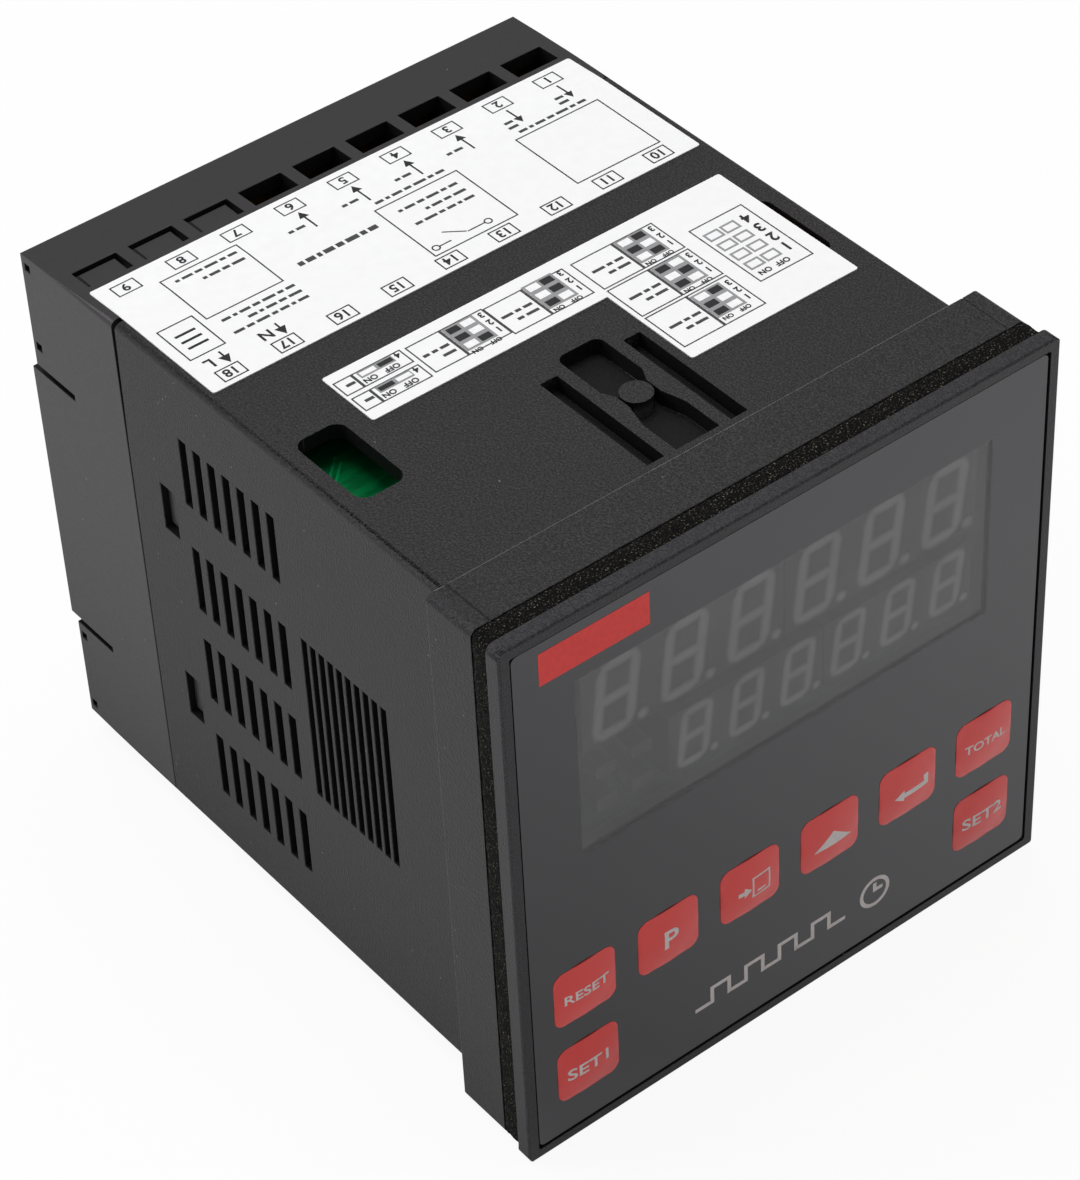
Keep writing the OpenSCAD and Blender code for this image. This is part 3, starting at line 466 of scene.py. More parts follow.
# Finishes: the function that makes them, and its colour, roughness and stretch
FINISHES = {
    **{made.__name__: (made,) for made in (
        housing_plastic, cavity_plastic, cover_plastic, bezel_plastic, overlay_film, smoked_window,
        key_film, sealing_foam, label_paper, segment_resin, circuit_board, board_trace)},
    "label_ink": (ink, "ink"),
    "white_ink": (ink, "label"),
    "legend_ink": (ink, "legend"),
    "word_ink": (ink, (0.05, 0.05, 0.052)),
    "grey_ink": (ink, (0.30, 0.30, 0.31)),
    "red_ink": (ink, (0.74, 0.040, 0.035)),
    "digit_plastic": (moulding, (0.022, 0.022, 0.023)),
    "lamp_plastic": (moulding, (0.05, 0.05, 0.05), 0.4),
    # painted highlight for the rear edge of the collar
    "scuffed_plastic": (moulding, (0.20, 0.20, 0.21), 0.55),
    "switch_plastic": (moulding, (0.010, 0.010, 0.011)),
    "plunger_plastic": (moulding, (0.64, 0.60, 0.50)),
    "switch_block_plastic": (moulding, (0.30, 0.02, 0.018), 0.35),
    "slider_plastic": (moulding, (0.75, 0.74, 0.70)),
    "chip_epoxy": (moulding, (0.014, 0.014, 0.015), 0.55),
    "ferrite": (moulding, (0.022, 0.022, 0.026), 0.5),
    "coil_tape": (moulding, (0.54, 0.32, 0.03), 0.3),
    "relay_plastic": (moulding, (0.032, 0.062, 0.23), 0.35),
    "capacitor_sleeve": (moulding, (0.026, 0.032, 0.062), 0.3),
    "contact_brass": (brushed_metal, (0.56, 0.40, 0.10), 0.34, (1, 6, 1)),
    "steel": (brushed_metal, (0.46, 0.46, 0.47), 0.36, (6, 1, 1)),
}

made_finishes = {}


def finish(name):
    """The named material, made when it is first asked for."""
    if name not in made_finishes:
        maker, *values = FINISHES[name]
        made_finishes[name] = maker(f"{name}_look", *values)
    return made_finishes[name]


# Meshes

def paint(material_name, *nodes):
    """Gives solids that stay as they are their finish."""
    for node in nodes:
        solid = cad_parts[node]
        if not solid.material_slots:
            solid.data.materials.append(None)
        for slot in solid.material_slots:
            slot.material = finish(material_name)


def add_piece(name, bm, material_name, body=CASE, replaced=()):
    """Makes a piece of a finished bmesh, in place, riding on a body."""
    if not bm.faces:
        raise RuntimeError(f"{name} has no faces")
    mesh = bpy.data.meshes.new(name)
    bm.to_mesh(mesh)
    bm.free()
    mesh.materials.append(finish(material_name))
    piece = bpy.data.objects.new(name, mesh)
    bpy.context.scene.collection.objects.link(piece)
    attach(piece, body)
    if replaced:
        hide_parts(*replaced)
    return piece


def joined_copy(node):
    """A solid's mesh as a bmesh with joined points."""
    bm = bmesh.new()
    bm.from_mesh(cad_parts[node].data)
    bmesh.ops.remove_doubles(bm, verts=bm.verts, dist=JOIN_DISTANCE)
    return bm


def merged_copy(node):
    """A solid's mesh as a bmesh with joined points and whole flat faces."""
    bm = joined_copy(node)
    bmesh.ops.dissolve_limit(bm, angle_limit=math.radians(0.5), verts=bm.verts, edges=bm.edges)
    return bm


def search_tree(mesh):
    """Search tree of a mesh's surface."""
    return BVHTree.FromPolygons([v.co for v in mesh.vertices], [p.vertices for p in mesh.polygons])


def round_edges(bm, edges, width, clamp):
    bmesh.ops.bevel(
        bm, geom=edges, offset=width, offset_type="OFFSET", segments=2, profile=0.5,
        affect="EDGES", material=-1, clamp_overlap=clamp, loop_slide=True)


def thicken(bm, faces, lift):
    """Raises flat faces into thin slabs."""
    raised = bmesh.ops.extrude_face_region(bm, geom=faces, use_keep_orig=True)["geom"]
    lifted = [part for part in raised if isinstance(part, bmesh.types.BMVert)]
    bmesh.ops.translate(bm, vec=lift, verts=lifted)


def soften(bm, width):
    """Rounds the sharp edges of a moulding."""
    crowded = 9
    edges = [
        edge for edge in bm.edges
        if edge.is_manifold
        and edge.calc_face_angle() > form().edge_angle
        and edge.calc_length() > form().shortest_edge
        and all(len(vert.link_edges) < crowded for vert in edge.verts)
    ]
    round_edges(bm, edges, width, clamp=False)


def smooth_shading(piece, angle=math.radians(40)):
    """Smooth normals that keep flat faces flat."""
    piece.data.shade_smooth()
    piece.data.set_sharp_from_angle(angle=angle)
    weighted = piece.modifiers.new("flat_faces", "WEIGHTED_NORMAL")
    weighted.keep_sharp = True
    weighted.weight = 80


def softened_piece(name, node, material_name, body, width):
    bm = merged_copy(node)
    soften(bm, width)
    piece = add_piece(name, bm, material_name, body, [node])
    smooth_shading(piece)
    # painted shade in the hollows of the shell
    paint_cavity_shade(piece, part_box(node))
    return piece


def paint_cavity_shade(piece, box):
    """Paints shade on the walls and floors of slots and pockets: faces that look onto the part's own
    surface close by, or lie more than 3 mm inside its box, get the darker plastic.
    """
    mesh = piece.data
    mesh.materials.append(finish("cavity_plastic"))
    tree = search_tree(mesh)
    lift, across, depth = 0.02 * MM, 14 * MM, 3 * MM
    square_on = 0.9
    for face in mesh.polygons:
        faced = tree.ray_cast(face.center + face.normal * lift, face.normal, across)[0] is not None
        sunk = any(
            abs(face.normal[axis]) > square_on
            and abs(box[face.normal[axis] > 0][axis] - face.center[axis]) > depth
            for axis in (0, 2))
        face.material_index = int(faced or sunk)


def paint_collar_highlight(piece, width):
    """Paints a highlight on the rounded rear edge of the collar: a pale line."""
    mesh = piece.data
    mesh.materials.append(finish("scuffed_plastic"))
    least_tilt, most_tilt = 0.2, 0.95
    for face in mesh.polygons:
        outer = max(abs(face.center.x), abs(face.center.z)) > COLLAR_REACH
        if outer and abs(face.center.y) < width and least_tilt < face.normal.y < most_tilt:
            face.material_index = len(mesh.materials) - 1


class Print:
    """Thin ink shapes, drawn flat in millimetres and then laid on a solid."""

    def __init__(self, thickness=None):
        self.bm = bmesh.new()
        self.thickness = (thickness or form().ink_thickness) / MM

    def bar(self, x0, y0, x1, y1):
        """Filled rectangle."""
        size = Matrix.Diagonal((x1 - x0, y1 - y0, self.thickness, 1.0))
        place = Matrix.Translation(((x0 + x1) / 2, (y0 + y1) / 2, self.thickness / 2))
        bmesh.ops.create_cube(self.bm, size=1.0, matrix=place @ size)

    def stroke(self, x0, y0, x1, y1, width):
        """Straight line of that width between two points."""
        run = Vector((x1 - x0, y1 - y0, 0.0))
        turn = Matrix.Rotation(math.atan2(run.y, run.x), 4, "Z")
        place = Matrix.Translation(((x0 + x1) / 2, (y0 + y1) / 2, self.thickness / 2))
        size = Matrix.Diagonal((run.length, width, self.thickness, 1.0))
        bmesh.ops.create_cube(self.bm, size=1.0, matrix=place @ turn @ size)

    def box(self, x0, y0, x1, y1, line=THIN_LINE):
        """Outline of a rectangle, as four bars that meet edge to edge."""
        self.bar(x0, y0, x1, y0 + line)
        self.bar(x0, y1 - line, x1, y1)
        self.bar(x0, y0 + line, x0 + line, y1 - line)
        self.bar(x1 - line, y0 + line, x1, y1 - line)

    def wedge(self, x, y, width, length, heading):
        """Triangle with its tip at (x, y), pointing along heading (radians)."""
        third = 2 * math.pi / 3
        unit_length, unit_width = 1.5, math.sqrt(3)
        shape = Matrix.Diagonal((length / unit_length, width / unit_width, self.thickness, 1.0))
        back = Matrix.Translation((-length / unit_length, 0.0, self.thickness / 2))
        place = Matrix.Translation((x, y, 0.0)) @ Matrix.Rotation(heading, 4, "Z") @ back
        made = bmesh.ops.create_cone(
            self.bm, cap_ends=True, segments=3, radius1=1.0, radius2=1.0, depth=1.0)
        first = max(made["verts"], key=lambda vert: (round(vert.co.x, 4), -abs(vert.co.y)))
        start = Matrix.Rotation(-math.atan2(first.co.y, first.co.x) % third, 4, "Z")
        bmesh.ops.transform(self.bm, matrix=place @ shape @ start, verts=made["verts"])

    def arrow(self, x, tail_y, tip_y, width=0.9, line=0.22):
        """Arrow along y."""
        heading = math.copysign(math.pi / 2, tip_y - tail_y)
        neck = tip_y - math.copysign(width, tip_y - tail_y)
        self.bar(x - line / 2, min(tail_y, neck), x + line / 2, max(tail_y, neck))
        self.wedge(x, tip_y, width, width, heading)

    def ring(self, x, y, radius, line, steps=32):
        """Circle drawn with a line of that width."""
        low = [self.bm.verts.new((x + reach, y, 0.0)) for reach in (radius - line / 2, radius + line / 2)]
        edge = self.bm.edges.new(low)
        bmesh.ops.spin(
            self.bm, geom=[*low, edge], cent=(x, y, 0.0), axis=(0, 0, 1),
            angle=2 * math.pi, steps=steps, use_merge=True)
        faces = {face for vert in low for face in vert.link_faces}
        grown = set(faces)
        while faces:
            faces = {f for face in faces for e in face.edges for f in e.link_faces} - grown
            grown |= faces
        thicken(self.bm, list(grown), (0.0, 0.0, self.thickness))

    def words(self, text, x, y, height, turn=0.0, bold=0.03, stretch=1.0):
        """Centred lettering with capitals of that height."""
        cap_share = 0.73
        curve = bpy.data.curves.new("lettering", "FONT")
        curve.body = text
        curve.size = height / cap_share
        curve.offset = bold * height
        curve.extrude = self.thickness / 2
        curve.resolution_u = 4
        curve.align_x = "CENTER"
        holder = bpy.data.objects.new("lettering", curve)
        mesh = bpy.data.meshes.new_from_object(holder)
        place = Matrix.Translation((x, y, self.thickness / 2)) @ Matrix.Rotation(turn, 4, "Z")
        wider = Matrix.Diagonal((stretch, 1.0, 1.0, 1.0))
        mesh.transform(place @ wider @ Matrix.Translation((0.0, -height / 2, 0.0)))
        self.bm.from_mesh(mesh)
        bpy.data.meshes.remove(mesh)
        bpy.data.objects.remove(holder)
        bpy.data.curves.remove(curve)

    def greeked(self, x0, y0, x1, rows, pitch=1.2, height=WORD_LINE):
        """Rows of small word bars that stand for running text, ragged at one end."""
        ragged = 0.3
        for row in range(rows):
            y = y0 - row * pitch
            end = x0 + (row % 2) * ragged * (x1 - x0)
            at = x1
            turn = 2 * row
            while at - end > WORD_LENGTHS[-1]:
                word = min(WORD_LENGTHS[turn % len(WORD_LENGTHS)], at - end)
                self.bar(at - word, y, at, y + height)
                at -= word + WORD_GAP
                turn += 1

    def cut(self, place, normal):
        geom = [*self.bm.verts, *self.bm.edges, *self.bm.faces]
        bmesh.ops.bisect_plane(self.bm, geom=geom, dist=CUT_TOLERANCE, plane_co=place, plane_no=normal)

    def slice(self, spacing):
        """Cuts the sheet along a square grid, so that it can follow a domed surface."""
        for axis in (0, 1):
            places = [vert.co[axis] for vert in self.bm.verts]
            normal = Vector((1 - axis, axis, 0))
            at = min(places) + spacing
            while at < max(places):
                self.cut(normal * at, normal)
                at += spacing

    def lay(self, name, material_name, nodes, upright=False, body=CASE, bend=None, slot=None):
        """Settles the ink on the solids' surface: on top of them, or upright on their front."""
        bm = self.bm
        bmesh.ops.remove_doubles(bm, verts=bm.verts, dist=INK_JOIN)
        if bend is not None:
            self.cut((0, bend, 0), (0, 1, 0))
        bmesh.ops.recalc_face_normals(bm, faces=bm.faces)
        bmesh.ops.scale(bm, vec=(MM, MM, MM), verts=bm.verts)
        if upright:
            turn = Matrix.Rotation(math.pi / 2, 3, "X")
            bmesh.ops.rotate(bm, cent=(0, 0, 0), matrix=turn, verts=bm.verts)
        inward = Vector((0, 1, 0)) if upright else Vector((0, 0, -1))
        carriers = [search_tree(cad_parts[node].data) for node in nodes]
        for vert in bm.verts:
            vert.co += settle(vert.co, inward, carriers, name)
        return add_piece(name, bm, material_name, body)


def settle(point, inward, carriers, name):
    """Move along inward that brings the sheet's own plane at this point onto the first surface."""
    reach = 0.2
    lateral = point - inward * point.dot(inward)
    hits = [tree.ray_cast(lateral - inward * reach, inward) for tree in carriers]
    found = [hit[0].dot(inward) for hit in hits if hit[0] is not None]
    if not found:
        raise RuntimeError(f"{name} reaches past the surface that carries it at {tuple(point)}")
    return inward * min(found)


# Pieces

class COUNTER_OT_shells(bpy.types.Operator):
    """Softens the edges of the bezel, the housing and the rear cover"""

    bl_idname = "counter.shells"
    bl_label = "Shells"

    def execute(self, context):
        width = form().edge_soft
        for name, node, slot in (
            ("housing_shell", "housing", "housing_plastic"),
            ("cover_shell", "rear_cover", "cover_plastic"),
            ("bezel_shell", "front_bezel", "bezel_plastic"),
        ):
            piece = softened_piece(name, node, slot, CASE, width)
            # painted highlight on the rear edge of the collar
            if node == "housing":
                paint_collar_highlight(piece, width)
        return {"FINISHED"}


class COUNTER_OT_seal(bpy.types.Operator):
    """Gives the seal behind the bezel its cut foam surface"""

    bl_idname = "counter.seal"
    bl_label = "Foam seal"

    def execute(self, context):
        node = "panel_gasket"
        ring = add_piece("foam_seal", merged_copy(node), "sealing_foam", CASE, [node])
        cells = ring.modifiers.new("cells", "REMESH")
        cells.mode = "VOXEL"
        cells.voxel_size = form().foam_cell
        context.view_layer.update()
        solid = ring.data
        ring.data = bpy.data.meshes.new_from_object(ring.evaluated_get(context.evaluated_depsgraph_get()))
        ring.data.name = "foam_seal"
        ring.modifiers.remove(cells)
        bpy.data.meshes.remove(solid)
        pore, fine_pore = 0.8 * MM, 0.32 * MM
        fine_share, level = 0.35, 0.6
        relief = form().foam_relief
        low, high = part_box(node)
        normals = [vert.normal.copy() for vert in ring.data.vertices]
        for vert, normal in zip(ring.data.vertices, normals):
            depth = 0.5 + 0.5 * noise.noise(vert.co / pore) + fine_share * noise.noise(vert.co / fine_pore)
            side = Vector((normal.x, 0.0, normal.z))
            vert.co -= side * relief * (depth - level)
            vert.co.y = min(max(vert.co.y, low.y), high.y)
        ring.data.shade_smooth()
        return {"FINISHED"}


class COUNTER_OT_overlay(bpy.types.Operator):
    """Finishes the film on the front and its printed marks"""

    bl_idname = "counter.overlay"
    bl_label = "Film front"

    def execute(self, context):
        paint("overlay_film", "front_overlay")
        paint("smoked_window", "display_window")
        field = Print()
        field.bar(*FRONT_FIELD)
        field.lay("front_field", "red_ink", ["front_overlay"], upright=True)
        self.marks().lay("front_marks", "legend_ink", ["front_overlay"], upright=True)
        return {"FINISHED"}

    def marks(self):
        """A train of pulses and a clock face."""
        drawn = Print()
        line = 0.5
        half = line / 2
        low, high = -29.0, -26.9
        left, step, pulses = -13.2, 2.35, 4
        for i in range(pulses):
            x = left + 2 * step * i
            drawn.bar(x, low - half, x + step + half, low + half)
            drawn.bar(x + step - half, low + half, x + step + half, high + half)
            drawn.bar(x + step + half, high - half, x + 2 * step - half, high + half)
            drawn.bar(x + 2 * step - half, low - half, x + 2 * step + half, high + half)
        end = left + 2 * step * pulses
        drawn.bar(end + half, low - half, end + step, low + half)
        x, z, radius = 12.2, (low + high) / 2, 1.9
        long_hand, short_hand = 0.68 * radius, 0.6 * radius
        drawn.ring(x, z, radius, line)
        drawn.bar(x - half, z, x + half, z + long_hand)
        drawn.bar(x + half, z, x + short_hand, z + line)
        return drawn


class COUNTER_OT_keys(bpy.types.Operator):
    """Softens the key pads and prints their legends"""

    bl_idname = "counter.keys"
    bl_label = "Keys"

    def execute(self, context):
        for key in (*KEY_LEGENDS, *KEY_SIGNS):
            node = f"{key}_key"
            body = f"{key}_button"
            self.pad(key, node, body)
            low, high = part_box(node)
            middle = (low + high) / (2 * MM)
            drawn = Print()
            if key in KEY_LEGENDS:
                text, height, stretch = KEY_LEGENDS[key]
                drawn.words(text, middle.x, middle.z, height, bold=LEGEND_BOLD, stretch=stretch)
            else:
                self.sign(drawn, KEY_SIGNS[key], middle.x, middle.z)
            drawn.slice(LEGEND_CELL)
            drawn.lay(f"{key}_legend", "legend_ink", [node], upright=True, body=body)
            paint("plunger_plastic", f"{key}_plunger")
        paint("switch_plastic", "switch_cases")
        return {"FINISHED"}

    def pad(self, key, node, body):
        """The domed pad, widened until it nearly meets the film round it."""
        bm = joined_copy(node)
        upright, crown, sharp = 0.01, 0.2 * MM, math.radians(60)
        flanks = [face for face in bm.faces if abs(face.normal.y) < upright]
        for vert in {vert for face in flanks for vert in face.verts}:
            outward = sum((face.normal for face in vert.link_faces if face in flanks), Vector())
            vert.co += outward.normalized() * form().pad_widening
        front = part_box(node)[1].y - crown
        rim = [
            edge for edge in bm.edges
            if edge.is_manifold
            and edge.calc_face_angle() > sharp
            and all(vert.co.y < front for vert in edge.verts)
        ]
        round_edges(bm, rim, form().pad_rim, clamp=True)
        piece = add_piece(f"{key}_pad", bm, "key_film", body, [node])
        piece.data.shade_smooth()
        piece.data.set_sharp_from_angle(angle=math.radians(30))

    def sign(self, drawn, parts, x, z):
        """An arrow or a triangle in place of lettering."""
        for left, low, right, high in parts["boxes"]:
            drawn.box(x + left, z + low, x + right, z + high, SIGN_LINE)
        for left, low, right, high in parts["bars"]:
            drawn.bar(x + left, z + low, x + right, z + high)
        across, up, *shape = parts["wedge"]
        drawn.wedge(x + across, z + up, *shape)


class COUNTER_OT_display(bpy.types.Operator):
    """Fills the segments of the digits and finishes the lamps"""

    bl_idname = "counter.display"
    bl_label = "Display"

    def execute(self, context):
        paint("digit_plastic", "upper_digits", "lower_digits")
        paint("lamp_plastic", "indicator_leds")
        paint("circuit_board", "display_board")
        paint("steel", "board_screws")
        for row in ("upper", "lower"):
            self.segments(f"{row}_digits", f"{row}_segments")
        return {"FINISHED"}

    def segments(self, node, name):
        """Pale figures on the faces of a row of digits, soft towards their edges."""
        low, high = (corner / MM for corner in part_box(node))
        tall = high.z - low.z - 2 * DIGIT_EDGE
        pitch = (high.x - low.x) / DIGITS_A_ROW
        wide, bar = DIGIT_ASPECT * tall, DIGIT_BAR * tall
        columns = (-wide / 2, bar - wide / 2, wide / 2 - bar, wide / 2)
        rows = (-tall / 2, bar - tall / 2, -bar / 2, bar / 2, tall / 2 - bar, tall / 2)
        near_middle, near_counter, forward = 0.1, (0.3, 0.5), -0.99
        bm = bmesh.new()
        for i in range(DIGITS_A_ROW):
            middle = Vector((low.x + pitch * (i + 0.5), low.y, (low.z + high.z) / 2))
            cells = bmesh.ops.create_grid(
                bm, x_segments=len(columns) - 1, y_segments=len(rows) - 1, size=1.0)["verts"]
            counters = [
                face for face in {face for vert in cells for face in vert.link_faces}
                if abs(face.calc_center_median().x) < near_middle
                and near_counter[0] < abs(face.calc_center_median().y) < near_counter[1]
            ]
            for vert in cells:
                x = columns[round((vert.co.x + 1) / 2 * (len(columns) - 1))]
                z = rows[round((vert.co.y + 1) / 2 * (len(rows) - 1))]
                if x in (columns[0], columns[-1]) and z in (rows[0], rows[-1]):
                    x -= math.copysign(bar * DIGIT_CORNER, x)
                    z -= math.copysign(bar * DIGIT_CORNER, z)
                vert.co = middle + Vector((x + z * DIGIT_LEAN, 0.0, z))
            bmesh.ops.delete(bm, geom=counters, context="FACES")
            point = middle + Vector((wide / 2 + bar * POINT_SHIFT, 0.0, (bar - tall) / 2))
            place = Matrix.Translation(point) @ Matrix.Rotation(math.pi / 2, 4, "X")
            bmesh.ops.create_circle(bm, cap_ends=True, segments=16, radius=bar / 2, matrix=place)
        thicken(bm, bm.faces[:], (0.0, -SEGMENT_THICKNESS, 0.0))
        bmesh.ops.scale(bm, vec=(MM, MM, MM), verts=bm.verts)
        bmesh.ops.recalc_face_normals(bm, faces=bm.faces)
        faces = [face for face in bm.faces if face.normal.y < forward]
        bmesh.ops.inset_region(
            bm, faces=faces, thickness=SEGMENT_SOFT * bar * MM, use_boundary=True, use_even_offset=True)
        core = bm.verts.layers.float.new(SEGMENT_CORE)
        for face in faces:
            for vert in face.verts:
                vert[core] = 1.0
        add_piece(name, bm, "segment_resin", CASE)


class COUNTER_OT_wiring_label(bpy.types.Operator):
    """Prints the wiring label on the top"""

    bl_idname = "counter.wiring_label"
    bl_label = "Wiring label"

    # Numbers of the terminals: width and height of their boxes, and height of the figures
    NUMBER_BOX = (3.0, 2.1)
    NUMBER_HEIGHT = 1.3
    # Arrows at the rear terminals: places in the row, the arrow (tail, tip, width), and the words
    # beside it (left, level, right, rows, pitch)
    ARROWS = (
        (range(0, 2), (58.9, 55.9, 1.1), (-2.6, 56.6, -0.8, 2, 1.0)),
        (range(2, 6), (55.5, 59.0, 1.2), (-3.0, 56.3, -0.9, 1)),
    )
    # Outlines of the plug-in modules and of a plain connector: left, front, right, rear
    OUTLINES = (
        (17.7, 43.0, 29.25, 53.8), (-1.5, 42.9, 9.6, 53.7), (-25.7, 50.15, -15.8, 58.8),
        (-30.9, 45.6, -26.4, 51.8),
    )
    PIN_X = (-29.9, -27.4)
    PINS_Y = (47.2, 48.4, 49.6)
    PIN_HEIGHT = 0.35
    # Running text: left, level, right, rows, pitch and height
    TEXTS = (
        (18.6, 54.4, 28.2, 1), (0.2, 51.6, 8.2, 3, 1.5), (-0.6, 54.4, 8.6, 1),
        (-24.9, 57.4, -16.6, 2, 1.5), (-25.4, 48.7, -15.4, 3, 1.25), (-13.4, 51.0, -2.8, 1, 1.2, 0.7),
    )
    # Open contact in the middle module: the rings at its ends, and its strokes
    POLES = ((6.5, 44.2), (-0.5, 44.1))
    POLE_RADIUS = 0.42
    POLE_STEPS = 20
    STROKES = ((6.08, 44.2, 3.8, 44.2), (3.7, 44.3, 1.6, 45.9), (1.5, 44.1, -0.06, 44.1))
    # Mains inputs: places in the row and letters, with an arrow (tail, tip, width) on the right
    # and the letter (level, height) on the left
    MAINS = ((7, "N"), (8, "L"))
    MAINS_SHIFT = 0.9
    MAINS_ARROW = (45.0, 42.75, 1.35)
    MAINS_LETTER = (43.9, 1.5)

    def execute(self, context):
        paint("label_paper", "wiring_label")
        drawn = Print()
        words = Print()
        columns = [TERMINAL_RIGHT_X - TERMINAL_PITCH * i for i in range(TERMINALS_A_ROW)]
        self.terminals(columns, drawn, words)
        self.supply(columns, drawn)
        self.modules(drawn)
        for row in self.TEXTS:
            words.greeked(*row)
        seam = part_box("housing")[1].y / MM
        drawn.lay("wiring_print", "label_ink", ["wiring_label"], bend=seam)
        words.lay("wiring_words", "word_ink", ["wiring_label"], bend=seam)
        return {"FINISHED"}

    def terminals(self, columns, drawn, words):
        """Numbered boxes along both rows of terminals, and their arrows."""
        wide, high = self.NUMBER_BOX
        for i, x in enumerate(columns):
            for y, first in ((REAR_ROW_Y, 1), (FRONT_ROW_Y, TERMINALS_A_ROW + 1)):
                drawn.box(x - wide / 2, y - high / 2, x + wide / 2, y + high / 2)
                drawn.words(str(first + i), x, y, self.NUMBER_HEIGHT, LABEL_TURN)
        for places, arrow, (left, level, right, *rows) in self.ARROWS:
            for i in places:
                drawn.arrow(columns[i], *arrow)
                words.greeked(columns[i] + left, level, columns[i] + right, *rows)

    def supply(self, columns, drawn):
        """The mains inputs."""
        level, height = self.MAINS_LETTER
        for i, letter in self.MAINS:
            drawn.arrow(columns[i] + self.MAINS_SHIFT, *self.MAINS_ARROW)
            drawn.words(letter, columns[i] - self.MAINS_SHIFT, level, height, LABEL_TURN)

    def modules(self, drawn):
        """Outlines of the plug-in modules, an open contact and a plain connector."""
        for outline in self.OUTLINES:
            drawn.box(*outline)
        for y in self.PINS_Y:
            drawn.bar(self.PIN_X[0], y, self.PIN_X[1], y + self.PIN_HEIGHT)
        for x, y in self.POLES:
            drawn.ring(x, y, self.POLE_RADIUS, THIN_LINE, self.POLE_STEPS)
        for stroke in self.STROKES:
            drawn.stroke(*stroke, THIN_LINE)


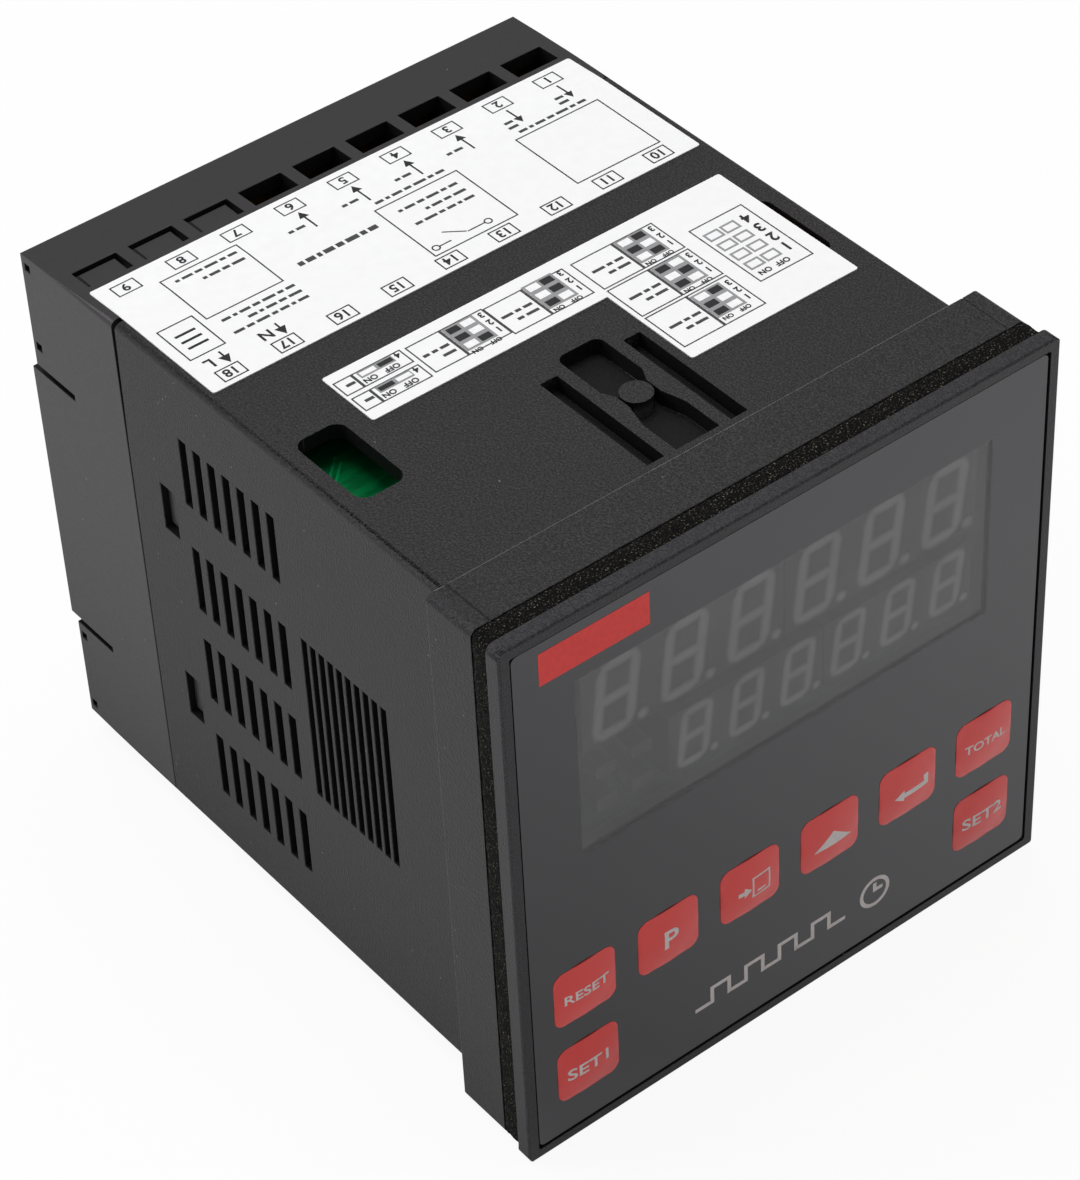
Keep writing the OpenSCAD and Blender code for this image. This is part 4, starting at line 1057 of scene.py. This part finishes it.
class COUNTER_OT_settings_label(bpy.types.Operator):
    """Prints the settings label on the top"""

    bl_idname = "counter.settings_label"
    bl_label = "Settings label"

    # Blocks of three switches: left, right, front, rear, and which side each switch is on
    BLOCKS = (
        (13.8, 17.7, 27.3, 32.4, (0, 1, 0)),
        (13.8, 17.7, 21.1, 26.3, (1, 0, 1)),
        (13.8, 17.7, 15.0, 20.0, (0, 1, 1)),
        (1.8, 5.7, 27.6, 32.8, (0, 0, 1)),
        (-8.75, -4.8, 27.7, 32.65, (1, 1, 0)),
    )
    # Cells with a name, beside the blocks: left, right, front, rear
    NAMES = (
        (8.1, 13.6, 26.8, 32.5), (8.1, 13.6, 20.7, 26.5), (8.1, 13.6, 14.0, 20.4),
        (-3.4, 1.6, 27.1, 32.6), (-13.3, -8.95, 27.5, 32.8),
    )
    # Single switches: front edge, and which side is on
    SINGLES = ((31.75, 1), (28.6, 0))
    # Their boxes, name, field and cells, across from the middle and up from the front edge, and their
    # lettering (text, place across, place up, height)
    SINGLE_EDGES = (-22.3, -20.0, -13.8)
    SINGLE_BOX = (-1.35, 1.25)
    SINGLE_NAME = (-21.9, -0.2, -20.3)
    SINGLE_FIELD = (-19.45, 0.0, -15.1, 1.15)
    SINGLE_CELLS = ((-19.25, -17.4), (-17.0, -15.25))
    SINGLE_CELL_RISE = (0.22, 0.87)
    SINGLE_WORDS = (("4", -14.5, 0.6, 0.9), ("ON", -18.8, -0.65, 0.75), ("OFF", -16.1, -0.7, 0.75))
    # The four switches themselves: outline, places of the cells, half their size and their line,
    # numbers (place across, height), and lettering (text, place across) with its level and height
    FOUR_WAY = (21.0, 17.1, 28.3, 28.7)
    FOUR_WAY_COLUMNS = (22.6, 24.85)
    FOUR_WAY_TOP = 26.4
    FOUR_WAY_PITCH = 2.15
    FOUR_WAY_CELL = (1.0, 0.75)
    FOUR_WAY_LINE = 0.26
    FOUR_WAY_NUMBER = (27.05, 1.5)
    FOUR_WAY_WORDS = (("ON", 22.6), ("OFF", 25.0))
    FOUR_WAY_WORD = (18.2, 0.75)

    def execute(self, context):
        paint("label_paper", "settings_label")
        black = Print(form().ink_thickness * 2)
        grey = Print()
        white = Print(form().ink_thickness * 2)
        words = Print()
        for block in self.BLOCKS:
            self.block(block, black, grey, white)
        number_column, left_inset, right_inset = 1.4, 0.6, 0.5
        for (x0, x1, y0, y1), (_, edge, *_) in zip(self.NAMES, self.BLOCKS):
            words.box(x0, y0, x1, y1)
            words.box(x1, y0, edge + number_column, y1)
            words.greeked(x0 + left_inset, (y0 + y1) / 2, x1 - right_inset, 2)
        self.four_way(black, grey, words)
        for y, side in self.SINGLES:
            self.single(black, grey, white, words, y, side)
        black.lay("settings_print", "label_ink", ["settings_label"])
        grey.lay("settings_fields", "grey_ink", ["settings_label"])
        white.lay("settings_cells", "white_ink", ["settings_label"])
        words.lay("settings_words", "word_ink", ["settings_label"])
        return {"FINISHED"}

    def block(self, block, black, grey, white):
        """A grey block of three switches with numbers and ON and OFF."""
        x0, x1, y0, y1, sides = block
        foot, spread = 0.4, 0.46 * (x1 - x0)
        number_gap, number_height = 0.7, 0.9
        on_gap, off_gap, drop, word_height = 0.9, 0.7, 0.12, 0.6
        pitch = (y1 - y0 - foot) / len(sides)
        wide, high = 1.45, pitch * 0.62
        grey.bar(x0, y0 + foot, x1, y1)
        for row, side in enumerate(sides):
            y = y1 - pitch * (row + 0.5)
            for column in (0, 1):
                x = (x0 + x1) / 2 + (0.5 - column) * spread
                sheet = black if column == side else white
                sheet.bar(x - wide / 2, y - high / 2, x + wide / 2, y + high / 2)
            black.words(str(len(sides) - row), x1 + number_gap, y, number_height, LABEL_TURN)
        for x, text in ((x0 + on_gap, "ON"), (x1 - off_gap, "OFF")):
            black.words(text, x, y0 - drop, word_height, LABEL_TURN)

    def four_way(self, black, grey, words):
        """Outline of the four switches themselves."""
        count = 4
        half_wide, half_high = self.FOUR_WAY_CELL
        number_x, number_height = self.FOUR_WAY_NUMBER
        words.box(*self.FOUR_WAY)
        for row in range(count):
            y = self.FOUR_WAY_TOP - self.FOUR_WAY_PITCH * row
            for x in self.FOUR_WAY_COLUMNS:
                grey.box(x - half_wide, y - half_high, x + half_wide, y + half_high, self.FOUR_WAY_LINE)
            black.words(str(count - row), number_x, y, number_height, LABEL_TURN)
        for text, x in self.FOUR_WAY_WORDS:
            black.words(text, x, *self.FOUR_WAY_WORD, LABEL_TURN)

    def single(self, black, grey, white, words, y, side):
        """One switch of the last row with its number, in a cell beside its name."""
        left, split, right = self.SINGLE_EDGES
        low, high = (y + rise for rise in self.SINGLE_BOX)
        words.box(left, low, split, high)
        words.box(split, low, right, high)
        x0, rise, x1 = self.SINGLE_NAME
        words.greeked(x0, y + rise, x1, 1)
        x0, foot, x1, head = self.SINGLE_FIELD
        grey.bar(x0, y + foot, x1, y + head)
        foot, head = self.SINGLE_CELL_RISE
        for column, (x0, x1) in enumerate(self.SINGLE_CELLS):
            sheet = black if column == side else white
            sheet.bar(x0, y + foot, x1, y + head)
        for text, x, rise, height in self.SINGLE_WORDS:
            black.words(text, x, y + rise, height, LABEL_TURN)


class COUNTER_OT_boards(bpy.types.Operator):
    """Finishes the boards and what they carry"""

    bl_idname = "counter.boards"
    bl_label = "Boards"

    # Traces seen through the left top window: where they start, their run and their width
    TRACES = ((-28.4, 26.1), (-28.5, 25.0))
    TRACE_RUN = (3.2, 3.1)
    TRACE_WIDTH = 0.3

    def execute(self, context):
        paint("circuit_board", "main_board", "power_board")
        paint("switch_plastic", "board_headers")
        paint("chip_epoxy", "controller_chip")
        paint("switch_block_plastic", "switch_block")
        paint("slider_plastic", *(f"slider_{i}" for i in range(1, 5)))
        paint("ferrite", "transformer_core")
        paint("coil_tape", "transformer_coil")
        paint("relay_plastic", "output_relay")
        paint("capacitor_sleeve", "capacitors")
        drawn = Print(form().trace_thickness)
        for x, y in self.TRACES:
            drawn.stroke(x, y, x + self.TRACE_RUN[0], y + self.TRACE_RUN[1], self.TRACE_WIDTH)
        drawn.lay("board_traces", "board_trace", ["main_board"], slot="circuit_board")
        return {"FINISHED"}


class COUNTER_OT_terminals(bpy.types.Operator):
    """Finishes the terminals and marks the joints of the closed wire slots"""

    bl_idname = "counter.terminals"
    bl_label = "Terminals"

    def execute(self, context):
        paint("contact_brass", "upper_contacts", "lower_contacts")
        paint("steel", "upper_screws", "lower_screws")
        joints = Print()
        for middle in CLOSED_SLOTS_X:
            x = middle - CLOSED_SLOT_REACH
            joints.bar(x, SLOT_JOINT_Y[0], x + SLOT_JOINT_WIDTH, SLOT_JOINT_Y[1])
        joints.lay("slot_joints", "cavity_plastic", ["rear_cover"], slot="cover_plastic")
        return {"FINISHED"}


# Stage

def white_share(tree, plain, mirrored):
    """Share of plain white for the camera, and in a reflection or through glass; none for the light."""
    path = add_node(tree, "LightPath", {})
    second = combined(tree, "MAXIMUM", path["Is Glossy Ray"], path["Is Transmission Ray"])
    return combined(
        tree, "ADD", combined(tree, "MULTIPLY", path["Is Camera Ray"], plain),
        combined(tree, "MULTIPLY", second, mirrored))


def mix_shaders(tree, output, share, first, second):
    mixed = add_node(tree, "MixShader", {"Fac": share, 1: first, 2: second})
    feed(tree.nodes[output], {"Surface": mixed["Shader"]})


class COUNTER_OT_stage(bpy.types.Operator):
    """Sets up the floor, the light and the camera"""

    bl_idname = "counter.stage"
    bl_label = "Stage"

    # Soft boxes: name, place, size and the setting of their power
    LAMPS = (
        ("main_lamp", (0.0, 0.27, 1.5), 1.0, "main_light"),
        ("side_lamp", (-0.7, 0.75, 0.6), 0.5, "side_light"),
        ("edge_lamp", (0.54, -0.79, 0.72), 0.3, "edge_light"),
    )
    FLOOR_REACH = 3.0
    FLOOR_GREY = (0.9, 0.9, 0.9, 1.0)
    # Painted shade: the floor in reflections is dimmer near the part. Where it brightens: heading in x and
    # y, start and end along it, and by how much
    BRIGHTER = (((0.75, -0.66), 0.0, 0.08, 0.45), ((-1.0, 0.0), 0.03, 0.058, 0.5))
    WHITE = (1.0, 1.0, 1.0, 1.0)
    # Where the sky is brightest, and the range of directions over which it dims
    SKY_HEADING = Vector((0.45, 0.6, 0.66)).normalized()
    SKY_RANGE = (-0.6, 0.8)

    def execute(self, context):
        settings = stage_settings()
        self.floor(settings)
        self.sky(settings)
        target = (CAD_BOX[0] + CAD_BOX[1]) / 2
        for name, place, size, setting in self.LAMPS:
            self.lamp(name, place, size, getattr(settings, setting), target)
        self.camera(settings)
        context.scene.view_settings.view_transform = "Standard"
        return {"FINISHED"}

    def floor(self, settings):
        """A wide pale floor that keeps a soft shadow."""
        bm = bmesh.new()
        place = Matrix.Translation((0.0, 0.0, settings.floor_height))
        bmesh.ops.create_grid(bm, x_segments=1, y_segments=1, size=self.FLOOR_REACH, matrix=place)
        mesh = bpy.data.meshes.new("floor")
        bm.to_mesh(mesh)
        bm.free()
        plane = bpy.data.objects.new("floor", mesh)
        bpy.context.scene.collection.objects.link(plane)
        material = bpy.data.materials.new("pale_floor")
        material.use_nodes = True
        tree = material.node_tree
        tree.nodes.remove(tree.nodes["Principled BSDF"])
        matt = add_node(tree, "BsdfDiffuse", {"Color": self.FLOOR_GREY})["BSDF"]
        direct = add_node(tree, "LightPath", {})["Is Camera Ray"]
        strength = combined(tree, "MAXIMUM", direct, self.mirrored_floor(tree, settings.floor_mirrored))
        white = add_node(tree, "Emission", {"Strength": strength})["Emission"]
        mix_shaders(tree, "Material Output", white_share(tree, settings.floor_white, 1.0), matt, white)
        mesh.materials.append(material)

    def mirrored_floor(self, tree, level):
        """Brightness of the floor in reflections, which rises away from the part: painted shade near the
        part.
        """
        place = add_node(tree, "TexCoord", {})["Object"]
        axes = add_node(tree, "SeparateXYZ", {"Vector": place})
        total = level
        for (across, along), start, end, height in self.BRIGHTER:
            way = combined(
                tree, "ADD", combined(tree, "MULTIPLY", axes["X"], across),
                combined(tree, "MULTIPLY", axes["Y"], along))
            total = combined(tree, "ADD", total, mapped(tree, way, start, end, 0.0, height))
        return total

    def sky(self, settings):
        """Soft light, strongest from behind on the right, and plain white for the camera."""
        world = bpy.data.worlds.new("studio")
        world.use_nodes = True
        tree = world.node_tree
        place = add_node(tree, "TexCoord", {})["Generated"]
        heading = add_node(tree, "VectorMath", {0: place, 1: self.SKY_HEADING}, "DOT_PRODUCT")["Value"]
        light = tree.nodes["Background"]
        strength = mapped(tree, heading, *self.SKY_RANGE, settings.sky_dim, settings.sky_light)
        feed(light, {"Color": self.WHITE, "Strength": strength})
        white = add_node(tree, "Background", {"Color": self.WHITE})["Background"]
        share = white_share(tree, 1.0, settings.sky_mirrored)
        mix_shaders(tree, "World Output", share, light.outputs["Background"], white)
        bpy.context.scene.world = world

    def lamp(self, name, place, size, power, target):
        """A square soft box that faces the object."""
        light = bpy.data.lights.new(name, "AREA")
        light.size = size
        light.energy = power
        box = bpy.data.objects.new(name, light)
        box.location = place
        box.rotation_euler = (target - Vector(place)).to_track_quat("-Z", "Y").to_euler()
        bpy.context.scene.collection.objects.link(box)

    def camera(self, settings):
        lens = bpy.data.cameras.new("photo_view")
        lens.lens = settings.camera_lens
        lens.sensor_width = 36.0
        lens.sensor_fit = "HORIZONTAL"
        lens.clip_start = 0.01
        eye = bpy.data.objects.new("photo_view", lens)
        eye.location = settings.camera_place
        eye.rotation_euler = settings.camera_turn
        bpy.context.scene.collection.objects.link(eye)
        bpy.context.scene.camera = eye


OPERATORS = (
    COUNTER_OT_shells, COUNTER_OT_seal, COUNTER_OT_overlay, COUNTER_OT_keys, COUNTER_OT_display,
    COUNTER_OT_wiring_label, COUNTER_OT_settings_label, COUNTER_OT_boards, COUNTER_OT_terminals,
    COUNTER_OT_stage,
)


class COUNTER_PT_panel(bpy.types.Panel):
    """Lists the steps that dress the counter"""

    bl_idname = "COUNTER_PT_panel"
    bl_label = "Panel counter"
    bl_space_type = "VIEW_3D"
    bl_region_type = "UI"
    bl_category = "Counter"

    def draw(self, context):
        for operator in OPERATORS:
            self.layout.operator(operator.bl_idname)
        for group in (form(), colours(), stage_settings()):
            column = self.layout.column()
            for name in group.__annotations__:
                column.prop(group, name)


SETTINGS = {"counter_form": CounterForm, "counter_colours": CounterColours, "counter_stage": CounterStage}
CLASSES = (*SETTINGS.values(), *OPERATORS, COUNTER_PT_panel)


def register():
    for cls in CLASSES:
        bpy.utils.register_class(cls)
    for name, group in SETTINGS.items():
        setattr(bpy.types.Scene, name, PointerProperty(type=group))


def unregister():
    for name in SETTINGS:
        delattr(bpy.types.Scene, name)
    for cls in reversed(CLASSES):
        bpy.utils.unregister_class(cls)


def main():
    register()
    bpy.ops.counter.shells()
    bpy.ops.counter.seal()
    bpy.ops.counter.overlay()
    bpy.ops.counter.keys()
    bpy.ops.counter.display()
    bpy.ops.counter.wiring_label()
    bpy.ops.counter.settings_label()
    bpy.ops.counter.boards()
    bpy.ops.counter.terminals()
    bpy.ops.counter.stage()


if __name__ == "__main__":
    main()
